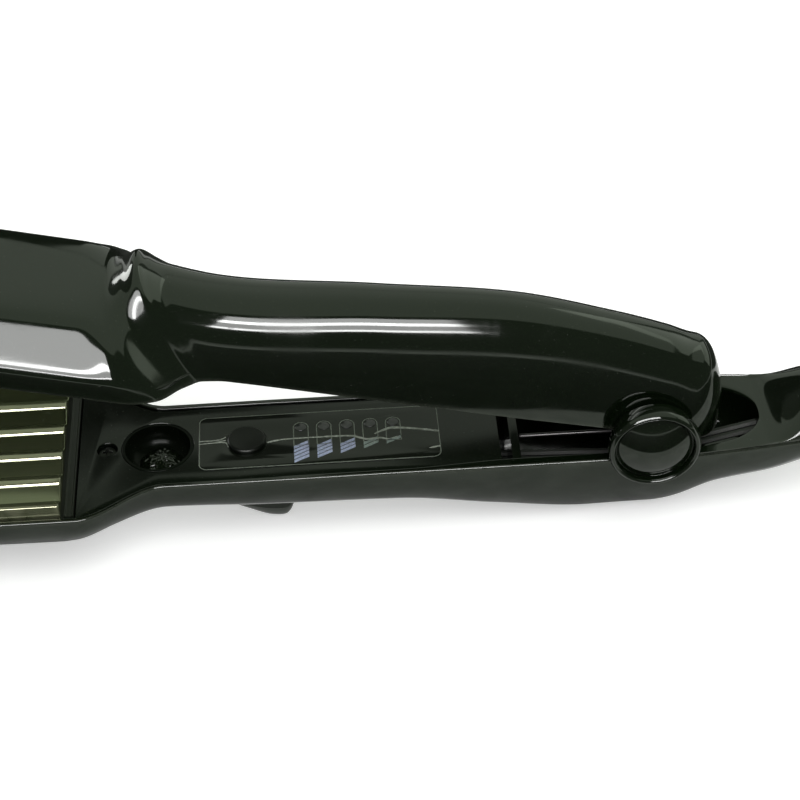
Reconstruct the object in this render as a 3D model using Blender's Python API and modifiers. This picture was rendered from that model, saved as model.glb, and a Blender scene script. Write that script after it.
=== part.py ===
"""Wide-plate hair crimper, opened as it lies on a table.

Metres, +Z up. The origin is on the table under the hinge axis, +X runs toward the cord end and the
near side is -Y. Each arm is modelled in its own frame and hung on an empty: the lower arm's frame
has its rim plane at z = 0, and the upper arm's frame has the hinge axis as its Y axis and its
mating plane at z = 0. The upper arm is turned up by the opening angle.
"""

import math

import bmesh
import bpy
import numpy as np
from mathutils import Matrix, Vector

# ---- How the arms lie -------------------------------------------------------------------------
RIM_HEIGHT = 0.0225
PIVOT_RISE = 0.0050
OPEN_ANGLE = math.radians(14.0)
HAIR_GAP = 0.0008

# ---- Walls and clearances ---------------------------------------------------------------------
WALL = 0.0020
RIM_WALL = 0.0016
GAP = 0.0003
OVERCUT = 0.0010

# ---- Head -------------------------------------------------------------------------------------
SHOULDER_X = -0.1490
HEAD_TAPER = 0.0003
NOSE_BLOCK = 0.0170
NOSE_LENGTH = 0.0150
NOSE_POWER = 2.4
BLUNT_TIP = 0.06
LOWER_HEAD_DEPTH = 0.0157
UPPER_HEAD_HEIGHT = 0.0144
SECTION_POWER = 2.4

# ---- Crimping plates --------------------------------------------------------------------------
PLATE_LENGTH = 0.0800
PLATE_WIDTH = 0.0496
PLATE_BASE = 0.0016
PLATE_REAR_GAP = 0.0036
PLATE_SIDE_GAP = 0.0022
RIDGE_COUNT = 6
RIDGE_DEPTH = 0.0026
RIDGE_SHARPNESS = 0.975
FRAME_BAR = 0.0024
FRAME_TROUGH = 0.0010
FRAME_STAND = 0.0003
FRAME_LEDGE = 0.0020
LEDGE_REACH = 0.0015

# ---- Lower handle and tail --------------------------------------------------------------------
WAIST_X = -0.1265
WAIST_END_X = -0.1010
WAIST_HALF_WIDTH = 0.0161
WAIST_DEPTH = 0.0123
HANDLE_X = -0.0650
HANDLE_HALF_WIDTH = 0.0160
HANDLE_DEPTH = 0.0138
HANDLE_REAR_DEPTH = 0.0153
BELLY_FRONT_X = -0.0150
BELLY_EXTRA = 0.0010
TAIL_START_X = 0.0080
TAIL_END_X = 0.0600
TAIL_RADIUS = 0.0108
TAIL_WAIST_DEPTH = 0.0143
CAVITY_END_X = 0.0305
CHEEK_WALL = 0.0030
BULKHEAD_X = -0.0360
BULKHEAD_THICKNESS = 0.0022
DECK_END_GAP = 0.0028

# ---- Foot under the lower arm -----------------------------------------------------------------
FOOT_X = -0.0981
FOOT_SOLE = 0.0036
FOOT_RAMP = 0.0088
FOOT_HEEL = 0.0022
FOOT_WIDTH = 0.0100

# ---- Upper handle and its guard ridge ---------------------------------------------------------
RIDGE_X = -0.1375
GUARD_HEIGHT = 0.0233
GUARD_HALF_WIDTH = 0.0148
GUARD_SWEEP = 0.0200
GRIP_FRONT_X = -0.1160
GRIP_FRONT_HEIGHT = 0.0182
GRIP_CREST_X = -0.0380
GRIP_CREST_HEIGHT = 0.0277
GRIP_HALF_WIDTH = 0.0134
KNUCKLE_HALF_WIDTH = 0.0126
KNUCKLE_HEIGHT = 0.0232
KNUCKLE_START_X = 0.0080
KNUCKLE_END_X = 0.0205

# ---- Hinge ------------------------------------------------------------------------------------
PIN_RADIUS = 0.0025
EAR_RADIUS = 0.0110
LUG_RADIUS = 0.0080
LUG_THICKNESS = 0.0036
BUSH_WALL = 0.0012
CAP_RADIUS = 0.0120
CAP_DOME = 0.0022
SPRING_RADIUS = 0.0068
SPRING_WIRE = 0.0012
SPRING_TURNS = 3
SPRING_PITCH = 0.0018

# ---- Deck, its guide cup and the controls -----------------------------------------------------
DECK_DROP = 0.0006
DECK_THICKNESS = 0.0020
DECK_SCREW_X = -0.1416
SCREW_HEAD_RADIUS = 0.0023
SCREW_SHANK_RADIUS = 0.0012
SCREW_LENGTH = 0.0085
SCREW_RECESS = 0.0008
BOSS_WALL = 0.0014
GUIDE_X = -0.1284
GUIDE_RADIUS = 0.0086
GUIDE_DEPTH = 0.0050
GUIDE_WALL = 0.0008
PEG_RADIUS = 0.0058
PEG_CLEARANCE = 0.0012
LABEL_LENGTH = 0.0635
LABEL_WIDTH = 0.0206
LABEL_THICKNESS = 0.0004
LABEL_CORNER = 0.0022
LABEL_CENTRE_X = -0.0859
BUTTON_X = -0.1050
BUTTON_RADIUS = 0.0051
BUTTON_STAND = 0.0013
BUTTON_TRAVEL = 0.0007
WINDOW_FRONT_X = -0.0907
WINDOW_PITCH = 0.0061
WINDOW_COUNT = 5
WINDOW_WIDTH = 0.0036
WINDOW_LENGTH = 0.0080
WINDOW_Y = 0.0022

# ---- Electrics --------------------------------------------------------------------------------
BOARD_LENGTH = 0.0660
BOARD_WIDTH = 0.0148
BOARD_THICKNESS = 0.0014
BOARD_DROP = 0.0078
POST_RADIUS = 0.0018
POST_Y = 0.0050
HEATER_END_MARGIN = 0.0070
HEATER_SIDE_MARGIN = 0.0094
HEATER_THICKNESS = 0.0022
CLAMP_MARGIN = 0.0020
CLAMP_LEG_WIDTH = 0.0120
CLAMP_THICKNESS = 0.0008
INSULATOR_THICKNESS = 0.0018
LEAD_RADIUS = 0.0009
LEAD_SPACING = 0.0026
LEAD_PASS_RADIUS = 0.0030
HEATER_LEAD_Y = 0.0065
SWITCH_SIZE = 0.0060
LAMP_HEIGHT = 0.0016
LAMP_LENGTH = 0.0020
LAMP_WIDTH = 0.0028
LAMP_STRIP_WIDTH = 0.0036
GUIDE_BAR_WIDTH = 0.0024

# ---- Cord gland -------------------------------------------------------------------------------
SOCKET_RADIUS = 0.0082
SOCKET_DEPTH = 0.0120
GLAND_RADIUS = 0.0058
GLAND_FLANGE = 0.0020
GLAND_REACH = 0.0080
CORD_BORE = 0.0034
COLLAR_STAND = 0.0026
LEAD_CHANNEL = 0.0036

# ---- Places that follow from the sizes above --------------------------------------------------
HEAD_LENGTH = PLATE_REAR_GAP + PLATE_LENGTH + NOSE_BLOCK
HEAD_HALF_WIDTH = PLATE_WIDTH / 2 + PLATE_SIDE_GAP
TIP_X = SHOULDER_X - HEAD_LENGTH
PLATE_REAR_X = SHOULDER_X - PLATE_REAR_GAP
PLATE_FRONT_X = PLATE_REAR_X - PLATE_LENGTH
PLATE_CENTRE_X = (PLATE_REAR_X + PLATE_FRONT_X) / 2
RIDGE_PITCH = PLATE_WIDTH / (RIDGE_COUNT - 1)
HEATER_LENGTH = PLATE_LENGTH - 2 * HEATER_END_MARGIN
HEATER_WIDTH = PLATE_WIDTH - 2 * HEATER_SIDE_MARGIN
FRAME_REAR_X = PLATE_REAR_X + FRAME_TROUGH + FRAME_BAR
WAVE_BASE = (PIVOT_RISE - RIDGE_DEPTH - HAIR_GAP) / 2
BELLY_DEPTH = RIM_HEIGHT + BELLY_EXTRA
DECK_FRONT_X = FRAME_REAR_X + GAP
DECK_REAR_X = BULKHEAD_X - BULKHEAD_THICKNESS - DECK_END_GAP
DECK_BOTTOM = DECK_DROP + DECK_THICKNESS
CHEEK_INNER = HANDLE_HALF_WIDTH - CHEEK_WALL
CAP_SEAT = HANDLE_HALF_WIDTH + GAP
SPRING_LEG = -BULKHEAD_X - GAP
BORE_RADIUS = PIN_RADIUS + GAP
BUSH_RADIUS = BORE_RADIUS + BUSH_WALL
BOARD_CENTRE_X = DECK_REAR_X - 0.0035 - BOARD_LENGTH / 2
BOARD_TOP = -BOARD_DROP
SOCKET_FLOOR_X = TAIL_END_X - SOCKET_DEPTH
GLAND_END_X = TAIL_END_X + GLAND_REACH


# ---- How finely the forms are faceted ----------------------------------------------------------
ARCH_POINTS = 13
CROWN_POINTS = 7
NOSE_ANGLES = (14.0, 36.0, 62.0, 90.0)


# ---- Curves that give the shells their form ---------------------------------------------------
def ease(t):
    """Smooth step from 0 to 1, level at both ends."""
    t = np.clip(t, 0.0, 1.0)
    return t * t * (3.0 - 2.0 * t)


def mix(a, b, t):
    return a + (b - a) * t


def smooth_curve(keys, x):
    """Monotone cubic curve through (x, value) keys, level outside them."""
    kx, kv = np.array(keys, dtype=float).T
    step = np.diff(kx)
    slope = np.diff(kv) / step
    tangent = np.zeros_like(kv)
    same_way = slope[:-1] * slope[1:] > 0
    harmonic = 2 * slope[:-1] * slope[1:] / np.where(same_way, slope[:-1] + slope[1:], 1.0)
    tangent[1:-1] = np.where(same_way, harmonic, 0.0)
    x = np.clip(x, kx[0], kx[-1])
    i = np.clip(np.searchsorted(kx, x) - 1, 0, len(kx) - 2)
    t = (x - kx[i]) / step[i]
    h00 = (1 + 2 * t) * (1 - t) ** 2
    h10 = t * (1 - t) ** 2
    h01 = t * t * (3 - 2 * t)
    h11 = t * t * (t - 1)
    return h00 * kv[i] + h10 * step[i] * tangent[i] + h01 * kv[i + 1] + h11 * step[i] * tangent[i + 1]


def nose(x, tip):
    """Rounding of the head's front end: 0 at the tip, 1 from NOSE_LENGTH on."""
    u = np.clip((tip + NOSE_LENGTH - x) / NOSE_LENGTH, 0.0, 1.0)
    return (1.0 - u**NOSE_POWER) ** (1.0 / NOSE_POWER)


def head_half_width(x):
    return HEAD_HALF_WIDTH - HEAD_TAPER * np.clip((SHOULDER_X - x) / HEAD_LENGTH, 0.0, 1.0)


def lower_half_width(x):
    width = mix(head_half_width(x), WAIST_HALF_WIDTH, ease((x - SHOULDER_X) / (WAIST_X - SHOULDER_X)))
    width = mix(width, HANDLE_HALF_WIDTH, ease((x - WAIST_END_X) / (HANDLE_X - WAIST_END_X)))
    tail = np.clip((x - TAIL_START_X) / (TAIL_END_X - TAIL_START_X), 0.0, 1.0)
    return mix(width, TAIL_RADIUS, tail**1.3)


def lower_depth(x):
    keys = (
        (TIP_X, LOWER_HEAD_DEPTH - 0.0012),
        (SHOULDER_X - 0.0040, LOWER_HEAD_DEPTH),
        (SHOULDER_X + 0.0095, WAIST_DEPTH),
        (WAIST_X, WAIST_DEPTH),
        (WAIST_END_X, HANDLE_DEPTH),
        (HANDLE_X, HANDLE_REAR_DEPTH),
        (mix(HANDLE_X, BELLY_FRONT_X, 0.5), mix(HANDLE_REAR_DEPTH, BELLY_DEPTH, 0.57)),
        (BELLY_FRONT_X, BELLY_DEPTH),
        (0.0, BELLY_DEPTH),
        (TAIL_START_X, mix(BELLY_DEPTH, TAIL_WAIST_DEPTH, 0.31)),
        (mix(TAIL_START_X, CAVITY_END_X, 0.45), mix(BELLY_DEPTH, TAIL_WAIST_DEPTH, 0.81)),
        (CAVITY_END_X, TAIL_WAIST_DEPTH),
        (TAIL_END_X, TAIL_RADIUS),
    )
    return smooth_curve(keys, x)


def tail_crown(x):
    """Height of the tail above the rim plane, nought as far as the hinge cavity reaches."""
    return TAIL_RADIUS * ease((x - CAVITY_END_X) / (SOCKET_FLOOR_X - CAVITY_END_X))


def lower_power(x):
    return mix(SECTION_POWER, 2.0, ease((x - CAVITY_END_X) / (SOCKET_FLOOR_X - CAVITY_END_X)))


def knuckle_round(x):
    """Plan rounding of the upper arm's rear end: 1 as far as KNUCKLE_START_X, 0 at the end."""
    u = np.clip((x - KNUCKLE_START_X) / (KNUCKLE_END_X - KNUCKLE_START_X), 0.0, 1.0)
    return np.sqrt(1.0 - u * u)


def upper_half_width(x):
    keys = (
        (RIDGE_X - 0.0125, HEAD_HALF_WIDTH),
        (RIDGE_X - 0.0085, HEAD_HALF_WIDTH - 0.0023),
        (RIDGE_X - 0.0040, mix(GUARD_HALF_WIDTH, HEAD_HALF_WIDTH, 0.28)),
        (RIDGE_X, GUARD_HALF_WIDTH),
        (RIDGE_X + 0.0090, GRIP_HALF_WIDTH + 0.0002),
        (GRIP_CREST_X, GRIP_HALF_WIDTH - 0.0002),
        (-0.0120, KNUCKLE_HALF_WIDTH),
    )
    body = smooth_curve(keys, x)
    return np.where(x < RIDGE_X - 0.0125, head_half_width(x), body) * knuckle_round(x)


def upper_height(x):
    """Crown of the upper arm: a flat head, a dip, the sharp guard ridge, then the arched grip."""
    front = (
        (TIP_X, UPPER_HEAD_HEIGHT - 0.0010),
        (SHOULDER_X - 0.0250, UPPER_HEAD_HEIGHT),
        (RIDGE_X - 0.0125, UPPER_HEAD_HEIGHT - 0.0004),
        (RIDGE_X - 0.0080, UPPER_HEAD_HEIGHT - 0.0001),
        (RIDGE_X - 0.0040, mix(UPPER_HEAD_HEIGHT, GUARD_HEIGHT, 0.50)),
        (RIDGE_X, GUARD_HEIGHT),
    )
    rear = (
        (RIDGE_X, GUARD_HEIGHT),
        (RIDGE_X + 0.0030, mix(GUARD_HEIGHT, GRIP_FRONT_HEIGHT, 0.50)),
        (RIDGE_X + 0.0080, mix(GUARD_HEIGHT, GRIP_FRONT_HEIGHT, 0.90)),
        (GRIP_FRONT_X, GRIP_FRONT_HEIGHT),
        (mix(GRIP_FRONT_X, GRIP_CREST_X, 0.5), mix(GRIP_FRONT_HEIGHT, GRIP_CREST_HEIGHT, 0.5)),
        (GRIP_CREST_X, GRIP_CREST_HEIGHT),
        (mix(GRIP_CREST_X, 0.0, 0.6), mix(GRIP_CREST_HEIGHT, KNUCKLE_HEIGHT, 0.4)),
        (0.0, KNUCKLE_HEIGHT),
        (KNUCKLE_START_X, KNUCKLE_HEIGHT - 0.0016),
    )
    crown = np.where(x < RIDGE_X, smooth_curve(front, x), smooth_curve(rear, x))
    return crown * knuckle_round(x) ** 1.5


def guard_sweep(x):
    """How far a section's rim lies behind its crown: the guard ridge is swept back like a collar."""
    rise = ease((x - (RIDGE_X - 0.0180)) / 0.0180)
    fall = 1.0 - ease((x - RIDGE_X) / 0.0400)
    return GUARD_SWEEP * rise * fall


def upper_rim_half_width(x):
    """Half width of the upper arm at its mating plane, where the sweep moves each section back."""
    along = np.linspace(TIP_X + NOSE_LENGTH, KNUCKLE_START_X, 160)
    return np.interp(x, along + guard_sweep(along), upper_half_width(along))


# ---- Scene, materials and small helpers -------------------------------------------------------
for old in list(bpy.data.objects):
    bpy.data.objects.remove(old, do_unlink=True)

parts = bpy.data.collections.new("hair_crimper")
cutters = bpy.data.collections.new("cutters")
for group in (parts, cutters):
    bpy.context.scene.collection.children.link(group)


def material(name, colour, roughness, metallic=0.0):
    made = bpy.data.materials.new(name)
    made.use_nodes = True
    shader = made.node_tree.nodes["Principled BSDF"]
    shader.inputs["Base Color"].default_value = (*colour, 1.0)
    shader.inputs["Roughness"].default_value = roughness
    shader.inputs["Metallic"].default_value = metallic
    return made


GLOSS_BLACK = material("gloss_black_plastic", (0.012, 0.012, 0.013), 0.08)
SATIN_BLACK = material("satin_black_plastic", (0.030, 0.031, 0.033), 0.38)
HEAT_BLACK = material("heat_resistant_black", (0.020, 0.020, 0.022), 0.30)
CHAMPAGNE = material("champagne_plate", (0.62, 0.56, 0.42), 0.24, 1.0)
STEEL = material("steel", (0.60, 0.60, 0.61), 0.25, 1.0)
ZINC = material("zinc_sheet", (0.55, 0.56, 0.58), 0.35, 1.0)
MICA = material("mica", (0.70, 0.66, 0.55), 0.60)
FELT = material("heat_felt", (0.82, 0.81, 0.77), 0.90)
BOARD_GREEN = material("circuit_board", (0.03, 0.20, 0.09), 0.45)
COMPONENT_BLACK = material("component_black", (0.03, 0.03, 0.03), 0.50)
COMPONENT_BLUE = material("component_blue", (0.05, 0.10, 0.35), 0.35)
LENS_SMOKE = material("smoked_lens", (0.18, 0.20, 0.24), 0.10)
LED_WHITE = material("led_resin", (0.80, 0.80, 0.78), 0.30)
LABEL_FILM = material("label_film", (0.022, 0.023, 0.025), 0.16)
LEAD_WHITE = material("lead_insulation", (0.78, 0.78, 0.76), 0.45)
FUSE_METAL = material("fuse_case", (0.72, 0.70, 0.62), 0.30, 1.0)
BUSH_WHITE = material("acetal_bush", (0.80, 0.80, 0.78), 0.40)
GLAND_BLACK = material("gland_black", (0.018, 0.018, 0.018), 0.45)


def empty(name, location, turn=0.0):
    made = bpy.data.objects.new(name, None)
    made.location = location
    made.rotation_euler = (0.0, turn, 0.0)
    parts.objects.link(made)
    return made


LOWER_ARM = empty("lower_arm", (0.0, 0.0, RIM_HEIGHT))
UPPER_ARM = empty("upper_arm", (0.0, 0.0, RIM_HEIGHT + PIVOT_RISE), OPEN_ANGLE)


def place(name, mesh, look=None, arm=None, matrix=None):
    """A named object in its arm's frame; a piece without a look is a cutter."""
    made = bpy.data.objects.new(name, mesh)
    made.parent = arm
    made.matrix_basis = matrix or Matrix.Identity(4)
    if look is None:
        made.hide_render = True
        made.display_type = "WIRE"
        cutters.objects.link(made)
    else:
        made.data.materials.append(look)
        parts.objects.link(made)
    return made


def shade(made, angle=40.0):
    made.data.shade_smooth()
    made.data.set_sharp_from_angle(angle=math.radians(angle))
    return made


def boolean(target, tool, operation):
    step = target.modifiers.new(f"{operation.lower()}_{tool.name}", "BOOLEAN")
    step.operation = operation
    step.object = tool
    step.solver = "EXACT"
    return target


def cut(target, *tools):
    for tool in tools:
        boolean(target, tool, "DIFFERENCE")
    return target


def join(target, *tools):
    for tool in tools:
        boolean(target, tool, "UNION")
    return target


def loft(name, rings, look, arm):
    """Closed skin through a row of closed rings, capped at both ends."""
    mesh = bpy.data.meshes.new(name)
    shell = bmesh.new()
    rows = [[shell.verts.new(point) for point in ring] for ring in rings]
    count = len(rows[0])
    for ahead, behind in zip(rows[:-1], rows[1:]):
        for i in range(count):
            j = (i + 1) % count
            shell.faces.new((ahead[i], ahead[j], behind[j], behind[i]))
    shell.faces.new(rows[0])
    shell.faces.new(reversed(rows[-1]))
    bmesh.ops.triangulate(shell, faces=shell.faces)
    bmesh.ops.recalc_face_normals(shell, faces=shell.faces)
    shell.to_mesh(mesh)
    shell.free()
    return shade(place(name, mesh, look, arm), 35.0)


def prism(name, outline, low, high, look, arm, matrix=None, holes=()):
    """Flat outline in the local XY plane, filled and extruded from low to high along local Z."""
    curve = bpy.data.curves.new(name, "CURVE")
    curve.dimensions = "2D"
    curve.fill_mode = "BOTH"
    curve.extrude = (high - low) / 2
    for loop in (outline, *holes):
        spline = curve.splines.new("POLY")
        spline.points.add(len(loop) - 1)
        spline.use_cyclic_u = True
        for point, (u, v) in zip(spline.points, loop):
            point.co = (u, v, 0.0, 1.0)
    middle = Matrix.Translation((0.0, 0.0, (low + high) / 2))
    return from_curve(name, curve, look, arm, (matrix or Matrix.Identity(4)) @ middle)


def from_curve(name, curve, look, arm, matrix=None):
    """Turn curve data into a welded mesh object."""
    guide = bpy.data.objects.new(name + "_guide", curve)
    parts.objects.link(guide)
    graph = bpy.context.evaluated_depsgraph_get()
    mesh = bpy.data.meshes.new_from_object(guide.evaluated_get(graph))
    bpy.data.objects.remove(guide, do_unlink=True)
    mesh.name = name
    mesh.materials.clear()
    welded = bmesh.new()
    welded.from_mesh(mesh)
    bmesh.ops.remove_doubles(welded, verts=welded.verts, dist=0.00001)
    straight = math.radians(0.2)
    bmesh.ops.dissolve_limit(welded, angle_limit=straight, verts=welded.verts, edges=welded.edges)
    bmesh.ops.recalc_face_normals(welded, faces=welded.faces)
    welded.to_mesh(mesh)
    welded.free()
    return shade(place(name, mesh, look, arm, matrix), 30.0)


def wire(name, route, radius, look, arm, resolution=1):
    """Round wire along a list of points."""
    curve = bpy.data.curves.new(name, "CURVE")
    curve.dimensions = "3D"
    curve.bevel_depth = radius
    curve.bevel_resolution = resolution
    curve.use_fill_caps = True
    spline = curve.splines.new("POLY")
    spline.points.add(len(route) - 1)
    for point, place_on_route in zip(spline.points, route):
        point.co = (*place_on_route, 1.0)
    return from_curve(name, curve, look, arm)


def box(name, low, high, look, arm, bevel=0.0):
    mesh = bpy.data.meshes.new(name)
    block = bmesh.new()
    bmesh.ops.create_cube(block, size=1.0)
    size = Vector(high) - Vector(low)
    centre = (Vector(high) + Vector(low)) / 2
    bmesh.ops.scale(block, vec=size, verts=block.verts)
    bmesh.ops.translate(block, vec=centre, verts=block.verts)
    block.to_mesh(mesh)
    block.free()
    made = place(name, mesh, look, arm)
    if bevel:
        soften(made, bevel)
    return made


def soften(made, width, segments=1):
    edge = made.modifiers.new("soft_edges", "BEVEL")
    edge.width = width
    edge.segments = segments
    edge.limit_method = "ANGLE"
    edge.angle_limit = math.radians(40.0)
    return made


def along(axis):
    """Turn the local Z axis onto the named axis."""
    turns = {
        "Z": Matrix.Identity(4),
        "X": Matrix.Rotation(math.radians(90.0), 4, "Y"),
        "-Y": Matrix.Rotation(math.radians(90.0), 4, "X"),
        "Y": Matrix.Rotation(math.radians(-90.0), 4, "X"),
        "-Z": Matrix.Rotation(math.radians(180.0), 4, "X"),
    }
    return turns[axis]


def cylinder(name, radius, low, high, look, arm, axis="Z", centre=(0.0, 0.0, 0.0), sides=24):
    """Cylinder from low to high along an axis through centre."""
    mesh = bpy.data.meshes.new(name)
    rod = bmesh.new()
    bmesh.ops.create_cone(
        rod, cap_ends=True, segments=sides, radius1=radius, radius2=radius, depth=high - low
    )
    bmesh.ops.translate(rod, vec=(0.0, 0.0, (low + high) / 2), verts=rod.verts)
    rod.to_mesh(mesh)
    rod.free()
    return shade(place(name, mesh, look, arm, Matrix.Translation(centre) @ along(axis)))


def turned(name, profile, look, arm, axis="Z", centre=(0.0, 0.0, 0.0), sides=32):
    """Solid of revolution: (radius, height) points from the top of the axis down the outer side."""
    mesh = bpy.data.meshes.new(name)
    line = bmesh.new()
    dots = [line.verts.new((radius, 0.0, height)) for radius, height in profile]
    for first, second in zip(dots[:-1], dots[1:]):
        line.edges.new((first, second))
    if profile[0][0] > 0.0:
        line.edges.new((dots[-1], dots[0]))
    line.to_mesh(mesh)
    line.free()
    made = place(name, mesh, look, arm, Matrix.Translation(centre) @ along(axis))
    spin = made.modifiers.new("turn", "SCREW")
    spin.axis = "Z"
    spin.steps = sides
    spin.render_steps = sides
    spin.use_merge_vertices = True
    spin.merge_threshold = 0.00001
    spin.use_normal_calculate = False
    spin.use_smooth_shade = True
    return made


def rounded_rectangle(length, width, corner, centre_x=0.0, centre_y=0.0, steps=5):
    loop = []
    for quarter, (sx, sy) in enumerate(((1, 1), (-1, 1), (-1, -1), (1, -1))):
        for k in range(steps + 1):
            angle = math.radians(90.0) * (quarter + k / steps)
            x = centre_x + sx * (length / 2 - corner) + corner * math.cos(angle)
            y = centre_y + sy * (width / 2 - corner) + corner * math.sin(angle)
            loop.append((x, y))
    return loop


def contour(half_width, front, rear, inset, steps=24, tip=None):
    """Plan outline between two places along an arm, inset from its rim."""
    spread = 0.5 - 0.5 * np.cos(np.linspace(0.0, math.pi, steps))
    x = mix(front, rear, spread)
    round_off = nose(x, tip) if tip is not None else 1.0
    y = (half_width(x) - inset) * round_off
    outline = list(zip(x, -y)) + list(zip(x[::-1], y[::-1]))
    return outline[:-1] if tip is not None else outline


def head_outline(inset, rear):
    """Plan outline of the head from its rounded tip back, inset from the rim all round."""
    return contour(head_half_width, TIP_X + inset, rear, inset, 18, TIP_X + inset)


def arch(half_width, height, power, points, over=0.0):
    """Half superellipse (y, z) from the near rim over the crown to the far rim.

    y = -w |cos t|^(2/n) with the sign of cos t, z = h |sin t|^(2/n); `over` carries both ends
    that far past the rim plane.
    """
    t = np.linspace(0.0, math.pi, points)
    y = -half_width * np.sign(np.cos(t)) * np.abs(np.cos(t)) ** (2.0 / power)
    z = height * np.abs(np.sin(t)) ** (2.0 / power)
    z[0] = z[-1] = 0.0
    if over:
        y = np.concatenate(([y[0]], y, [y[-1]]))
        z = np.concatenate(([-over], z, [-over]))
    return y, z


# ---- Lower shell ------------------------------------------------------------------------------
def spread_between(start, end, count):
    return start + (end - start) * (0.5 - 0.5 * np.cos(np.linspace(0.0, math.pi, count)))


def lower_stations(start, end):
    nose_part = start + NOSE_LENGTH * (1.0 - np.cos(np.radians(NOSE_ANGLES)))
    head = np.linspace(TIP_X + NOSE_LENGTH, SHOULDER_X, 3)
    waist = np.linspace(SHOULDER_X, WAIST_X, 7)
    handle = np.linspace(WAIST_X, BELLY_FRONT_X, 7)
    tail = np.linspace(BELLY_FRONT_X, TAIL_END_X, 10)
    every = np.unique(np.round(np.concatenate((nose_part, head, waist, handle, tail)), 6))
    inside = every[(every > start + 0.0004) & (every < end - 0.0004)]
    return np.concatenate(([start], inside, [end]))


def lower_ring(x, offset, over=0.0):
    """One ring of the lower hull: the belly arch, then across the top."""
    round_off = nose(x, TIP_X + offset) if x < TIP_X + offset + NOSE_LENGTH else 1.0
    round_off = max(round_off, BLUNT_TIP)
    width = (lower_half_width(x) - offset) * round_off
    depth = (lower_depth(x) - offset) * round_off
    y, z = arch(width, depth, lower_power(x), ARCH_POINTS, over)
    ring = [(x, a, max(-b, offset - RIM_HEIGHT)) for a, b in zip(y, z)]
    crown = tail_crown(x)
    for t in np.linspace(0.0, math.pi, CROWN_POINTS)[1:-1]:
        top_y = width * math.copysign(abs(math.cos(t)) ** (2.0 / lower_power(x)), math.cos(t))
        ring.append((x, top_y, crown * math.sin(t) ** (2.0 / lower_power(x)) + over))
    return ring


def hinge_cavity_half_width(x):
    """Inner half width of the shell: its wall, the cheeks by the hinge, and the round rear end."""
    straight = np.minimum(lower_half_width(x) - WALL, CHEEK_INNER)
    inner = mix(lower_half_width(x) - WALL, straight, ease((x - HANDLE_X) / (BULKHEAD_X - HANDLE_X)))
    u = np.clip((x - (CAVITY_END_X - CHEEK_INNER)) / CHEEK_INNER, 0.0, 1.0)
    return inner * np.sqrt(np.maximum(1.0 - u * u, 0.01))


def lower_cavity_rings():
    rings = []
    for x in lower_stations(TIP_X + WALL, CAVITY_END_X - 0.0001):
        round_off = max(nose(x, TIP_X + WALL), BLUNT_TIP)
        width = float(hinge_cavity_half_width(x)) * round_off
        depth = (lower_depth(x) - WALL) * round_off
        y, z = arch(width, depth, SECTION_POWER, ARCH_POINTS, OVERCUT)
        floor = WALL - RIM_HEIGHT
        rings.append([(x, a, max(-b, floor)) for a, b in zip(y, z)])
    return rings


def bulkhead_rings():
    rings = []
    for x in (BULKHEAD_X - BULKHEAD_THICKNESS, BULKHEAD_X):
        y, z = arch(lower_half_width(x) - WALL / 2, lower_depth(x) - WALL / 2, SECTION_POWER, ARCH_POINTS)
        rings.append([(x, a, -b - 0.0002) for a, b in zip(y, z)])
    return rings


def foot_profile():
    """Side outline of the foot: a long ramp, a flat sole on the table and a steep heel."""
    root = -(float(lower_depth(FOOT_X)) - 0.6 * WALL)
    sole = -RIM_HEIGHT
    half = FOOT_SOLE / 2
    return [
        (FOOT_X - half - FOOT_RAMP, root),
        (FOOT_X - half - 0.35 * FOOT_RAMP, mix(root, sole, 0.72)),
        (FOOT_X - half, sole),
        (FOOT_X + half, sole),
        (FOOT_X + half + FOOT_HEEL, root),
    ]


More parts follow.
